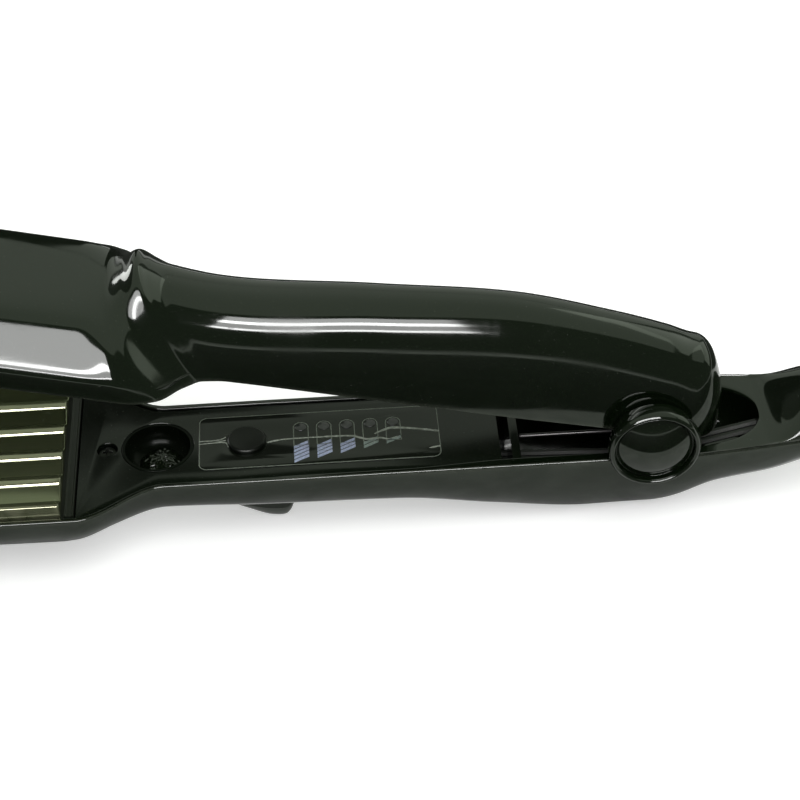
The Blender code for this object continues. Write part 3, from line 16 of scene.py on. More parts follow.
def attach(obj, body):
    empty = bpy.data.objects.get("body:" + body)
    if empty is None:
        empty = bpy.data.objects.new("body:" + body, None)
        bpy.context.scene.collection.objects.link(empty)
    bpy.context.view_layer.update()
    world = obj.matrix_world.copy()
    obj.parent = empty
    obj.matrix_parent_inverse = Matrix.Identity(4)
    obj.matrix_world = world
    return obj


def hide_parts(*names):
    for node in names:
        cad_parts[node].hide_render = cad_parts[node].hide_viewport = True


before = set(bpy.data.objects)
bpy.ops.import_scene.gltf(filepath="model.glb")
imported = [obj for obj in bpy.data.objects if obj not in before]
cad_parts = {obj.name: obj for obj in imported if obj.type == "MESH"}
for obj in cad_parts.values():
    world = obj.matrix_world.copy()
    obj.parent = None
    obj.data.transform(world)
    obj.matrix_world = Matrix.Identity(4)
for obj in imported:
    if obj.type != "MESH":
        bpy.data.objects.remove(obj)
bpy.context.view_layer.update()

# ---- How the arms lie
RIM_HEIGHT = 0.0225
PIVOT_RISE = 0.005
OPEN_ANGLE = math.radians(14.0)

# ---- Sizes that the shells share with the solids
WALL = 0.002
RIM_WALL = 0.0016
GAP = 0.0003
SECTION_POWER = 2.4
QUARTER_TURN = math.pi / 2
FULL_TURN = 2 * math.pi

SHOULDER_X = -0.149
TIP_X = -0.2496
HEAD_LENGTH = SHOULDER_X - TIP_X
HEAD_HALF_WIDTH = 0.027
HEAD_TAPER = 0.0003
NOSE_LENGTH = 0.015
NOSE_POWER = 2.4
LOWER_HEAD_DEPTH = 0.0157
UPPER_HEAD_HEIGHT = 0.0154
LIP = 0.0005
INNER_LIP = 0.00045
HINGE_BEAD = 0.0011
CHAMFER_REACH = 0.0326
CHAMFER_LEAN = 1.07
BEVEL_REACH = 0.0991
BEVEL_LEAN = 5.45
CHAMFER_POWER = 36.0

PLATE_WIDTH = 0.0496
PLATE_REAR_X = -0.1526
PLATE_FRONT_X = -0.2326
PLATE_BASE = 0.0016
RIDGE_COUNT = 6
RIDGE_PITCH = PLATE_WIDTH / (RIDGE_COUNT - 1)
RIDGE_DEPTH = 0.0026
HAIR_GAP = 0.0008
WAVE_BASE = (PIVOT_RISE - RIDGE_DEPTH - HAIR_GAP) / 2
FRAME_REAR_X = -0.1492
FRAME_BAR = 0.0024

WAIST_X = -0.1265
WAIST_END_X = -0.101
WAIST_HALF_WIDTH = 0.0161
WAIST_DEPTH = 0.0123
HANDLE_X = -0.065
HANDLE_HALF_WIDTH = 0.016
HANDLE_DEPTH = 0.0138
HANDLE_REAR_DEPTH = 0.0153
BELLY_FRONT_X = -0.015
BELLY_DEPTH = RIM_HEIGHT + 0.001
TAIL_START_X = 0.008
TAIL_END_X = 0.06
TAIL_RADIUS = 0.0108
TAIL_WAIST_DEPTH = 0.0143
CAVITY_END_X = 0.0305
CHEEK_WALL = 0.003
CHEEK_INNER = HANDLE_HALF_WIDTH - CHEEK_WALL
BULKHEAD_X = -0.036
HINGE_FRONT_X = -0.01
BULKHEAD_THICKNESS = 0.0022
CROSS_WALL_X = -0.0349
SOCKET_RADIUS = 0.0082
SOCKET_FLOOR_X = 0.048
FOOT_FRONT_X = -0.118
FOOT_REAR_X = -0.0918
FOOT_HALF_WIDTH = 0.0074

RIDGE_X = -0.1375
GUARD_HEIGHT = 0.0234
GUARD_HALF_WIDTH = 0.0148
GUARD_SWEEP = 0.02
GRIP_FRONT_X = -0.116
GRIP_FRONT_HEIGHT = 0.019
GRIP_CREST_X = -0.038
GRIP_CREST_HEIGHT = 0.0275
GRIP_HALF_WIDTH = 0.0134
KNUCKLE_HALF_WIDTH = 0.0126
KNUCKLE_HEIGHT = 0.024
KNUCKLE_START_X = 0.008
KNUCKLE_END_X = 0.0199

DECK_DROP = 0.0006
DECK_THICKNESS = 0.002
DECK_FRONT_X = FRAME_REAR_X + GAP
DECK_REAR_X = -0.0388
DECK_SCREW_X = -0.1416
SCREW_HEAD_RADIUS = 0.0023
REAR_SCREW_X = BULKHEAD_X - 0.012
GUIDE_X = -0.1284
GUIDE_RADIUS = 0.0086
GUIDE_DEPTH = 0.005
BOWL_FLOOR = -0.0066
BOSS_SPHERE = 0.0084
PEG_RADIUS = 0.0058
LABEL_LENGTH = 0.0635
LABEL_WIDTH = 0.0206
LABEL_CORNER = 0.0022
LABEL_CENTRE_X = -0.0859
BUTTON_X = -0.105
BUTTON_RADIUS = 0.0051
WINDOW_FRONT_X = -0.0907
WINDOW_PITCH = 0.0061
WINDOW_COUNT = 5
WINDOW_WIDTH = 0.0041
WINDOW_LENGTH = 0.0092
WINDOW_Y = 0.0018
LENS_Y = 0.0043
LENS_RADIUS = 0.0015
BAR_HALF_WIDTH = 0.00198
BAR_LEFT_Y = -0.003
BAR_SLANT = 0.0021
BAR_TALL = 0.00106
BAR_PITCH = 0.00134
LABEL_TOP = -DECK_DROP + 0.00016

CAP_RADIUS = 0.012
CAP_DOME = 0.0022
EAR_RADIUS = 0.011
LUG_RADIUS = 0.008
LUG_THICKNESS = 0.0036
LUG_FACE = KNUCKLE_HALF_WIDTH - 0.0002
SPRING_RADIUS = 0.0068
SPRING_WIRE = 0.0012
SPRING_PITCH = 0.0018
SPRING_TURNS = 3.5
SPRING_LEG = 0.0334
PIN_BORE = 0.0027
BUSH_BORE = 0.0043

GLAND_END_X = 0.068
GLAND_RADIUS = 0.0058
GLAND_BORE = 0.0034


# ---- Curves that give the shells their form
def ease(t):
    """Smooth step from 0 to 1, level at both ends."""
    t = np.clip(t, 0.0, 1.0)
    return t * t * (3.0 - 2.0 * t)


def mix(a, b, t):
    return a + (b - a) * t


def smooth_curve(keys, x):
    """Monotone cubic curve through (x, value) keys, level outside them."""
    kx, kv = np.array(keys, dtype=float).T
    step = np.diff(kx)
    slope = np.diff(kv) / step
    tangent = np.zeros_like(kv)
    same_way = slope[:-1] * slope[1:] > 0
    harmonic = 2 * slope[:-1] * slope[1:] / np.where(same_way, slope[:-1] + slope[1:], 1.0)
    tangent[1:-1] = np.where(same_way, harmonic, 0.0)
    x = np.clip(x, kx[0], kx[-1])
    i = np.clip(np.searchsorted(kx, x) - 1, 0, len(kx) - 2)
    t = (x - kx[i]) / step[i]
    h00 = (1 + 2 * t) * (1 - t) ** 2
    h10 = t * (1 - t) ** 2
    h01 = t * t * (3 - 2 * t)
    h11 = t * t * (t - 1)
    start = h00 * kv[i] + h10 * step[i] * tangent[i]
    return start + h01 * kv[i + 1] + h11 * step[i] * tangent[i + 1]


def arch(width, height, power, t):
    """Half of a super-ellipse: y = -w sgn(cos t) |cos t|^(2/n) and z = h |sin t|^(2/n)."""
    c, s = np.cos(t), np.sin(t)
    return -width * np.sign(c) * np.abs(c) ** (2 / power), height * np.abs(s) ** (2 / power)


def nose(x, tip):
    """Rounding of the head's front end: (1 - u^p)^(1/p), 0 at the tip and 1 from NOSE_LENGTH on."""
    u = np.clip((tip + NOSE_LENGTH - x) / NOSE_LENGTH, 0.0, 1.0)
    return (1.0 - u**NOSE_POWER) ** (1.0 / NOSE_POWER)


def stations(*runs):
    """Places along an arm in rising order: a nose, close together at the tip, and then the runs."""
    tip = TIP_X + NOSE_LENGTH * (1.0 - np.cos(np.linspace(0.0, QUARTER_TURN, 30)))
    return np.unique(np.round(np.concatenate((tip, *runs)), 7))


def head_half_width(x):
    return HEAD_HALF_WIDTH - HEAD_TAPER * np.clip((SHOULDER_X - x) / HEAD_LENGTH, 0.0, 1.0)


def lower_half_width(x):
    narrowing = ease((x - SHOULDER_X) / (WAIST_X - SHOULDER_X))
    width = mix(head_half_width(x), WAIST_HALF_WIDTH, narrowing)
    width = mix(width, HANDLE_HALF_WIDTH, ease((x - WAIST_END_X) / (HANDLE_X - WAIST_END_X)))
    tail = np.clip((x - TAIL_START_X) / (TAIL_END_X - TAIL_START_X), 0.0, 1.0)
    return mix(width, TAIL_RADIUS, tail**1.3)


def lower_depth(x):
    """Depth of the lower arm's belly below its rim plane."""
    keys = (
        (TIP_X, LOWER_HEAD_DEPTH - 0.0012),
        (SHOULDER_X - 0.004, LOWER_HEAD_DEPTH),
        (SHOULDER_X + 0.0095, WAIST_DEPTH),
        (WAIST_X, WAIST_DEPTH),
        (WAIST_END_X, HANDLE_DEPTH),
        (HANDLE_X, HANDLE_REAR_DEPTH),
        (mix(HANDLE_X, BELLY_FRONT_X, 0.5), mix(HANDLE_REAR_DEPTH, BELLY_DEPTH, 0.57)),
        (BELLY_FRONT_X, BELLY_DEPTH),
        (0.0, BELLY_DEPTH),
        (TAIL_START_X, mix(BELLY_DEPTH, TAIL_WAIST_DEPTH, 0.31)),
        (mix(TAIL_START_X, CAVITY_END_X, 0.45), mix(BELLY_DEPTH, TAIL_WAIST_DEPTH, 0.81)),
        (CAVITY_END_X, TAIL_WAIST_DEPTH),
        (TAIL_END_X, TAIL_RADIUS),
    )
    return smooth_curve(keys, x)


def tail_crown(x):
    """Height of the tail above the rim plane, nought as far as the hinge cavity reaches."""
    return TAIL_RADIUS * ease((x - CAVITY_END_X) / (SOCKET_FLOOR_X - CAVITY_END_X))


def lower_power(x):
    """Exponent of the lower arm's section: 2 is an ellipse, more is fuller towards the corners."""
    keys = ((TIP_X, 2.6), (SHOULDER_X, 2.7), (WAIST_X, 3.3), (WAIST_END_X, 3.2), (HANDLE_X, 3.1),
            (2 * BELLY_FRONT_X, 2.9), (0.0, 2.7), (TAIL_START_X, 3.1), (CAVITY_END_X, 3.0),
            (SOCKET_FLOOR_X, 2.0))
    return smooth_curve(keys, x)


def cavity_half_width(x):
    """Inner half width of the lower shell: its wall, the hinge cheeks and the round rear end."""
    wall = lower_half_width(x) - mix(RIM_WALL, WALL, ease((x - BULKHEAD_X + 0.01) / 0.01))
    cheek = np.minimum(wall, CHEEK_INNER)
    inner = mix(wall, cheek, ease((x - HANDLE_X) / (BULKHEAD_X - HANDLE_X)))
    inner = inner * (1.0 - 0.17 * ease((x - KNUCKLE_START_X) / 0.014))
    u = np.clip((x - (CAVITY_END_X - CHEEK_INNER)) / CHEEK_INNER, 0.0, 1.0)
    return inner * np.sqrt(1.0 - u * u)


def knuckle_round(x):
    """Plan rounding of the upper arm's rear end: 1 as far as KNUCKLE_START_X, 0 at the end."""
    u = np.clip((x - KNUCKLE_START_X) / (KNUCKLE_END_X - KNUCKLE_START_X), 0.0, 1.0)
    return np.sqrt(1.0 - u * u)


def upper_half_width(x):
    keys = (
        (RIDGE_X - 0.009, HEAD_HALF_WIDTH),
        (RIDGE_X - 0.006, HEAD_HALF_WIDTH - 0.0023),
        (RIDGE_X - 0.003, mix(GUARD_HALF_WIDTH, HEAD_HALF_WIDTH, 0.28)),
        (RIDGE_X, GUARD_HALF_WIDTH),
        (RIDGE_X + 0.009, GRIP_HALF_WIDTH + 0.0002),
        (GRIP_CREST_X, GRIP_HALF_WIDTH - 0.0002),
        (-0.012, KNUCKLE_HALF_WIDTH),
    )
    body = smooth_curve(keys, x)
    return np.where(x < RIDGE_X - 0.009, head_half_width(x), body) * knuckle_round(x)


def upper_height(x):
    """Crown of the upper arm: a flat head, a dip, the sharp guard ridge, then the arched grip."""
    front = (
        (TIP_X, UPPER_HEAD_HEIGHT - 0.001),
        (SHOULDER_X - 0.025, UPPER_HEAD_HEIGHT),
        (RIDGE_X - 0.0125, UPPER_HEAD_HEIGHT + 0.0005),
        (RIDGE_X - 0.007, UPPER_HEAD_HEIGHT + 0.0006),
        (RIDGE_X - 0.0032, mix(UPPER_HEAD_HEIGHT, GUARD_HEIGHT, 0.5)),
        (RIDGE_X, GUARD_HEIGHT),
    )
    rear = (
        (RIDGE_X, GUARD_HEIGHT),
        (RIDGE_X + 0.003, mix(GUARD_HEIGHT, GRIP_FRONT_HEIGHT, 0.3)),
        (RIDGE_X + 0.008, mix(GUARD_HEIGHT, GRIP_FRONT_HEIGHT, 0.72)),
        (GRIP_FRONT_X, GRIP_FRONT_HEIGHT),
        (mix(GRIP_FRONT_X, GRIP_CREST_X, 0.5), mix(GRIP_FRONT_HEIGHT, GRIP_CREST_HEIGHT, 0.54)),
        (GRIP_CREST_X, GRIP_CREST_HEIGHT),
        (mix(GRIP_CREST_X, 0.0, 0.6), mix(GRIP_CREST_HEIGHT, KNUCKLE_HEIGHT, 0.42)),
        (0.0, KNUCKLE_HEIGHT),
        (KNUCKLE_START_X, KNUCKLE_HEIGHT - 0.0016),
    )
    crown = np.where(x < RIDGE_X, smooth_curve(front, x), smooth_curve(rear, x))
    return crown * knuckle_round(x) ** 1.5


def guard_sweep(x):
    """How far a section's rim lies behind its crown, as the guard is swept back like a collar."""
    rise = ease((x - (RIDGE_X - 0.018)) / 0.018)
    fall = 1.0 - ease((x - RIDGE_X) / 0.04)
    return GUARD_SWEEP * rise * fall


def rim_half_width_above(x):
    """Half width of the upper arm at its mating plane, where the sweep moves each section back."""
    run = np.linspace(TIP_X + NOSE_LENGTH, KNUCKLE_START_X, 400)
    return np.interp(x, run + guard_sweep(run), upper_half_width(run))


# ---- Putting points where an arm is
def on_lower_arm(points):
    return points + np.array((0.0, 0.0, RIM_HEIGHT))


def on_upper_arm(points):
    """Turn about the hinge's Y axis by the opening angle a: x' = x cos a + z sin a and
    z' = z cos a - x sin a."""
    c, s = math.cos(OPEN_ANGLE), math.sin(OPEN_ANGLE)
    x, y, z = points[..., 0], points[..., 1], points[..., 2]
    return np.stack((x * c + z * s, y, z * c - x * s + RIM_HEIGHT + PIVOT_RISE), -1)


ARMS = {"lower_arm": on_lower_arm, "upper_arm": on_upper_arm}


# ---- Meshes from grids
def points(*parts):
    """Stack x, y and z arrays, stretched to one shape, into an array of points."""
    return np.stack(np.broadcast_arrays(*parts), -1)


def quads(rows, columns, start):
    i = np.arange(rows - 1)[:, None] * columns
    j = np.arange(columns - 1)[None, :]
    corner = i + j
    rows_of_four = np.stack((corner, corner + 1, corner + columns + 1, corner + columns), -1)
    return start + rows_of_four.reshape(-1, 4)


# What a piece is made of, the arm it is worked out on, the material it has in the record, the
# solids it stands for and, where it isn't the arm, the body it rides on.
Kind = namedtuple("Kind", "look arm slot nodes body", defaults=((), None))


def add_object(name, data):
    made = bpy.data.objects.new(name, data)
    bpy.context.scene.collection.objects.link(made)
    return made


def mesh_piece(name, verts, faces, kind, marks=None, sharp=38.0, weld=3e-6, melt=True):
    """One object from points and faces: doubles merged, faces outward, smooth but for its edges."""
    mesh = bpy.data.meshes.new(name)
    mesh.from_pydata(ARMS[kind.arm](verts).tolist(), [], faces)
    for label, values in (marks or {}).items():
        layer = mesh.attributes.new(label, "FLOAT", "POINT")
        layer.data.foreach_set("value", np.asarray(values, dtype=np.float32))
    work = bmesh.new()
    work.from_mesh(mesh)
    bmesh.ops.remove_doubles(work, verts=work.verts, dist=weld)
    if melt:
        bmesh.ops.dissolve_degenerate(work, edges=work.edges, dist=weld / 3)
    bmesh.ops.recalc_face_normals(work, faces=work.faces)
    work.to_mesh(mesh)
    work.free()
    mesh.shade_smooth()
    mesh.set_sharp_from_angle(angle=math.radians(sharp))
    mesh.materials.append(kind.look)
    piece = add_object(name, mesh)
    body, slot, nodes = kind.body or kind.arm, kind.slot, kind.nodes
    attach(piece, body)
    if nodes:
        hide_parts(*nodes)
    return piece


def skin(name, grids, kind, marks=None, sharp=38.0):
    """One piece from several grids of points whose edges meet."""
    start = 0
    faces = []
    for grid in grids:
        faces.append(quads(grid.shape[0], grid.shape[1], start))
        start += grid.shape[0] * grid.shape[1]
    verts = np.concatenate([grid.reshape(-1, 3) for grid in grids])
    flat_marks = {label: np.concatenate([np.asarray(v).reshape(-1) for v in values])
                  for label, values in (marks or {}).items()}
    return mesh_piece(name, verts, np.concatenate(faces).tolist(), kind, flat_marks, sharp)


def edge_strips(top, under):
    """Strips that join the edges of two grids: those at the ends, and those along the sides."""
    ends = [np.stack((top[k], under[k])) for k in (0, -1)]
    sides = [np.stack((top[:, k], under[:, k]), 1) for k in (0, -1)]
    return ends, sides


def eased_corners(profile, radius, steps=4):
    """Replace each inner corner of a (r, h) profile by the parabola that meets both sides `radius`
    away, or 45% of the shorter side where that is less."""
    p = np.asarray(profile, dtype=float)
    before, here, after = p[:-2], p[1:-1], p[2:]
    back, ahead = before - here, after - here
    back_long = np.linalg.norm(back, axis=1, keepdims=True)
    ahead_long = np.linalg.norm(ahead, axis=1, keepdims=True)
    reach = np.minimum(radius, 0.45 * np.minimum(back_long, ahead_long))
    a = here + back / back_long * reach
    b = here + ahead / ahead_long * reach
    t = np.linspace(0.0, 1.0, steps)[None, :, None]
    bend = (1 - t) ** 2 * a[:, None] + 2 * t * (1 - t) * here[:, None] + t**2 * b[:, None]
    return np.concatenate((p[:1], bend.reshape(-1, 2), p[-1:]))


def axis_points(axis, centre, radial, angle, height):
    """Points at a distance, an angle and a height about a named axis through centre."""
    c, s = radial * np.cos(angle), radial * np.sin(angle)
    turned = {
        "Z": (c, s, height), "-Z": (c, -s, -height),
        "X": (height, c, s),
        "Y": (s, height, c), "-Y": (c, -height, s),
    }[axis]
    return points(*turned) + np.array(centre)


def revolve(name, profile, kind, axis="Z", centre=(0, 0, 0), sides=96, radius=0.0002, closed=False,
            sharp=38.0):
    """Solid of revolution: a profile of (r, h) with eased corners, carried round an axis."""
    line = list(profile)
    if closed:
        middle = tuple((np.array(line[0]) + np.array(line[1])) / 2)
        line = [middle] + line[1:] + [line[0], middle]
    line = eased_corners(line, radius)
    angle = np.linspace(0.0, FULL_TURN, sides + 1)[None, :]
    ring = axis_points(axis, centre, line[:, :1], angle, line[:, 1:])
    return skin(name, [ring], kind, sharp=sharp)


def tube(name, path, radius, kind, sides, guide=(0, 1, 0)):
    """Round section carried along a path, its frame turned from a guide direction, ends domed."""
    dome = np.array((0.0, 0.55, 0.85))
    tangent = np.gradient(path, axis=0)
    tangent /= np.linalg.norm(tangent, axis=1, keepdims=True)
    side = np.cross(tangent, np.array(guide, dtype=float))
    side /= np.linalg.norm(side, axis=1, keepdims=True)
    centre, tangent, side, up = [
        np.concatenate((np.repeat(rows[:1], 3, 0), rows, np.repeat(rows[-1:], 3, 0)))
        for rows in (path, tangent, side, np.cross(side, tangent))]
    grow = np.concatenate((dome, np.ones(len(path)), dome[::-1])) * radius
    bulge = (1.0 - dome) * 0.8
    push = np.concatenate((-bulge, np.zeros(len(path)), bulge[::-1])) * radius
    centre = centre + tangent * push[:, None]
    angle = np.linspace(0.0, FULL_TURN, sides + 1)[None, :, None]
    ring = np.cos(angle) * side[:, None] + np.sin(angle) * up[:, None]
    return skin(name, [centre[:, None] + grow[:, None, None] * ring], kind, sharp=60.0)


def panel(name, outline, holes, low, high, kind, edge=0.0002):
    """Flat panel with holes: a filled outline, drawn in by its eased edge and extruded."""
    curve = bpy.data.curves.new(name, "CURVE")
    curve.dimensions = "2D"
    curve.fill_mode = "BOTH"
    curve.extrude = (high - low) / 2 - edge
    curve.bevel_depth = edge
    curve.bevel_resolution = 2
    curve.offset = -edge
    for loop in (outline, *holes):
        spline = curve.splines.new("POLY")
        spline.points.add(len(loop) - 1)
        spline.use_cyclic_u = True
        flat = np.concatenate((loop, np.zeros((len(loop), 1)), np.ones((len(loop), 1))), axis=1)
        spline.points.foreach_set("co", flat.ravel())
    guide = add_object(name + "_outline", curve)
    graph = bpy.context.evaluated_depsgraph_get()
    mesh = bpy.data.meshes.new_from_object(guide.evaluated_get(graph))
    bpy.data.objects.remove(guide, do_unlink=True)
    verts = np.empty(len(mesh.vertices) * 3)
    mesh.vertices.foreach_get("co", verts)
    verts = verts.reshape(-1, 3) + np.array((0.0, 0.0, (low + high) / 2))
    faces = [tuple(face.vertices) for face in mesh.polygons]
    bpy.data.meshes.remove(mesh)
    return mesh_piece(name, verts, faces, kind, sharp=30.0, weld=2e-6, melt=False)


def circle(radius, x, y=0.0, sides=96):
    a = np.linspace(0.0, FULL_TURN, sides + 1)[:-1]
    return np.stack((x + radius * np.cos(a), y + radius * np.sin(a)), 1)


def rounded_rectangle(length, width, corner, x=0.0, y=0.0, steps=12):
    """Corner arcs of a rectangle, one after the other round it."""
    a = np.linspace(0.0, QUARTER_TURN, steps)
    quarter = np.arange(4)[:, None]
    sx = np.array((1, -1, -1, 1))[:, None]
    sy = np.array((1, 1, -1, -1))[:, None]
    angle = a[None, :] + quarter * QUARTER_TURN
    px = x + sx * (length / 2 - corner) + corner * np.cos(angle)
    py = y + sy * (width / 2 - corner) + corner * np.sin(angle)
    return np.stack((px.ravel(), py.ravel()), 1)


def capsule(width, length, x, y, steps=24):
    """Window outline, narrow along X, with a round far end and a square near end."""
    radius = width / 2
    a = np.linspace(0.0, math.pi, steps)
    near = np.array(((x - radius, y - length / 2), (x + radius, y - length / 2)))
    far = np.stack((x + radius * np.cos(a), y + length / 2 - radius + radius * np.sin(a)), 1)
    return np.concatenate((near, far))


def plan_outline(half_width, front, rear, inset, steps=120, tip=None):
    """Outline in plan between two places along an arm, inset from its rim."""
    x = mix(front, rear, 0.5 - 0.5 * np.cos(np.linspace(0.0, math.pi, steps)))
    y = (half_width(x) - inset) * (nose(x, tip) if tip is not None else 1.0)
    near, far = np.stack((x, -y), 1), np.stack((x, y), 1)[::-1]
    return np.concatenate((near, far))[: 2 * steps - (1 if tip is not None else 0)]


# ---- Finishes
class Nodes:
    """A material whose nodes are made one after another."""

    def __init__(self, name):
        self.made = bpy.data.materials.new(name)
        self.made.use_nodes = True
        self.tree = self.made.node_tree

    def feed(self, value, socket):
        """Link an output to a socket, or set a number, a vector or a colour on it."""
        if isinstance(value, bpy.types.NodeSocket):
            self.tree.links.new(value, socket)
        else:
            socket.default_value = (*value, 1.0) if socket.type == "RGBA" else value

    def node(self, kind, result, inputs, **settings):
        made = self.tree.nodes.new("ShaderNode" + kind)
        for setting, value in settings.items():
            setattr(made, setting, value)
        for socket, value in inputs.items():
            self.feed(value, made.inputs[socket])
        return made.outputs[result]


class Finish(Nodes):
    """A surface finish, worked out in object coordinates."""

    def __init__(self, name, colour, roughness, metallic=0.0, **sockets):
        super().__init__(name)
        self.shader = self.tree.nodes["Principled BSDF"]
        sockets = {"Base_Color": colour, "Roughness": roughness, "Metallic": metallic, **sockets}
        for socket, value in sockets.items():
            self.feed(value, self.shader.inputs[socket.replace("_", " ")])
        self.where = self.node("TexCoord", "Object", {})

    def stretched(self, scale, turn=(0.0, 0.0, 0.0)):
        """Object coordinates scaled, and turned, so that a pattern runs along a piece."""
        inputs = {"Vector": self.where, "Scale": scale, "Rotation": turn}
        return self.node("Mapping", "Vector", inputs)

    def noise(self, scale, detail=3.0, roughness=0.55, distortion=0.0, where=None):
        inputs = {"Vector": where or self.where, "Scale": scale, "Detail": detail,
                  "Roughness": roughness, "Distortion": distortion}
        return self.node("TexNoise", "Fac", inputs)

    def cells(self, scale):
        return self.node("TexVoronoi", "Distance", {"Vector": self.where, "Scale": scale})

    def mark(self, name):
        """A value carried by the piece's own points."""
        return self.node("Attribute", "Fac", {}, attribute_name=name)

    def spread(self, value, low, high, to_low=0.0, to_high=1.0):
        """Map value from low..high to to_low..to_high, held at both ends."""
        return self.node("MapRange", 0, {0: value, 1: low, 2: high, 3: to_low, 4: to_high},
                         interpolation_type="SMOOTHSTEP")

    def sum(self, a, b):
        return self.node("Math", 0, {0: a, 1: b}, operation="ADD")

    def times(self, a, b):
        return self.node("Math", 0, {0: a, 1: b}, operation="MULTIPLY")

    def blend(self, amount, first, second):
        """Colour between two colours, or two colour outputs."""
        return self.node("Mix", 2, {0: amount, 6: first, 7: second}, data_type="RGBA")

    def paint(self, colour):
        self.feed(colour, self.shader.inputs["Base Color"])

    def roughen(self, value):
        self.feed(value, self.shader.inputs["Roughness"])

    def raised(self, *layers):
        """Bumps one over the other: (height, how far it stands in metres)."""
        below = {}
        for height, distance in layers:
            inputs = {"Strength": 1.0, "Distance": distance, "Height": height, **below}
            below = {"Normal": self.node("Bump", "Normal", inputs)}
        self.feed(below["Normal"], self.shader.inputs["Normal"])


def shade(colour, factor):
    return tuple(min(c * factor, 1.0) for c in colour)


PLASTIC_SHEEN = (0.92, 1.0, 0.88)


def moulded_gloss(name, colour, roughness, wave=1.0, edge=True):
    """Polished plastic: slow moulding waves, faint handling smears, hairline scratches and dust."""
    f = Finish(name, colour, roughness, IOR=1.56, Specular_Tint=PLASTIC_SHEEN)
    smear = f.spread(f.noise(38.0, 4.0, 0.6, 0.8), 0.46, 0.72)
    along = f.stretched((0.06, 1.0, 1.0), (0.1, 0.2, 0.5))
    hair = f.spread(f.noise(900.0, 2.0, 0.5, 0.0, along), 0.66, 0.74)
    dust = f.spread(f.noise(2600.0, 1.0, 0.4), 0.73, 0.8)
    tone = f.blend(f.noise(14.0, 2.0), shade(colour, 0.75), shade(colour, 1.3))
    tone = f.blend(f.times(dust, 0.16), tone, (0.2, 0.21, 0.19))
    if edge:
        worn = f.times(f.mark("rim"), f.noise(420.0, 3.0))
        tone = f.blend(f.times(worn, 0.22), tone, (0.16, 0.17, 0.14))
    f.paint(tone)
    rough = f.sum(f.times(smear, 0.07), roughness)
    rough = f.sum(rough, f.times(hair, 0.05))
    f.roughen(rough)
    f.raised((f.noise(55.0, 1.0, 0.3), 0.00003 * wave),
             (f.noise(260.0, 2.0, 0.5), 0.0000016 * wave), (hair, 0.000001))
    return f.made


def moulded_satin(name, colour, roughness, grain=1.0, bend=1.4):
    """Fine-textured plastic: an etched grain, faint rubbing and a little unevenness of tone."""
    f = Finish(name, colour, roughness, IOR=bend, Specular_Tint=PLASTIC_SHEEN)
    rub = f.spread(f.noise(70.0, 4.0, 0.6, 0.4), 0.45, 0.75)
    tone = f.blend(f.noise(22.0, 3.0), shade(colour, 0.78), shade(colour, 1.25))
    tone = f.blend(f.times(f.spread(f.noise(2400.0, 1.0), 0.72, 0.8), 0.18), tone,
                   (0.24, 0.25, 0.22))
    f.paint(tone)
    f.roughen(f.sum(f.times(rub, -0.08), roughness + 0.04))
    f.raised((f.noise(90.0, 1.0, 0.3), 0.00002), (f.noise(5200.0, 2.0, 0.6), 0.0000045 * grain))
    return f.made


def coated_plate():
    """Champagne ceramic coat: rolled lines, stains, smudges and a paler band along each crest's
    edge, partly wear and partly a painted highlight.
    """
    f = Finish("champagne_plate", (0.34, 0.34, 0.22), 0.14, 0.72)
    lines = f.noise(2400.0, 3.0, 0.6, 0.0, f.stretched((0.02, 1.0, 1.0)))
    stain = f.spread(f.noise(60.0, 5.0, 0.65, 0.8), 0.45, 0.75)
    smudge = f.spread(f.noise(150.0, 4.0, 0.7, 1.2), 0.64, 0.74)
    # Paler coat along each crest's edge: partly wear, partly a painted highlight.
    crest = f.mark("crest")
    base = f.blend(crest, (0.14, 0.165, 0.088), (0.5, 0.5, 0.34))
    base = f.blend(f.times(stain, 0.3), base, (0.15, 0.17, 0.09))
    base = f.blend(f.times(lines, 0.16), base, (0.46, 0.45, 0.32))
    base = f.blend(f.times(smudge, 0.2), base, (0.75, 0.74, 0.64))
    f.paint(base)
    rough = f.sum(f.times(smudge, 0.16), f.spread(lines, 0.3, 0.7, 0.09, 0.14))
    f.roughen(rough)
    f.raised((lines, 0.000003), (f.noise(120.0, 2.0), 0.000008))
    return f.made


def bare_metal(name, colour, roughness, stretch=(1.0, 1.0, 1.0), spots=0.3):
    """Drawn or pressed metal: grain lines, dull spots and small dents."""
    f = Finish(name, colour, roughness, 1.0)
    grain = f.noise(1800.0, 3.0, 0.6, 0.0, f.stretched(stretch))
    dull = f.spread(f.noise(160.0, 4.0, 0.6), 0.5, 0.75)
    tone = f.blend(grain, shade(colour, 0.8), shade(colour, 1.12))
    tone = f.blend(f.times(dull, spots), tone, shade(colour, 0.45))
    f.paint(tone)
    f.roughen(f.sum(f.times(dull, 0.22), f.spread(grain, 0.3, 0.7, roughness, roughness + 0.12)))
    f.raised((grain, 0.000004), (f.noise(300.0, 2.0), 0.00001))
    return f.made


def dull_stuff(name, colour, roughness, scale, height, second, metallic=0.0):
    """Uneven matt stuff, such as felt, mica, resin, insulation or board lacquer."""
    f = Finish(name, colour, roughness, metallic, Specular_Tint=PLASTIC_SHEEN)
    patch = f.noise(scale, 5.0, 0.65, 0.5)
    f.paint(f.blend(f.spread(patch, 0.35, 0.7), colour, second))
    f.roughen(f.spread(patch, 0.3, 0.7, roughness - 0.08, roughness + 0.08))
    f.raised((f.noise(scale * 6.0, 3.0, 0.6), height), (f.cells(scale * 3.0), height * 0.6))
    return f.made


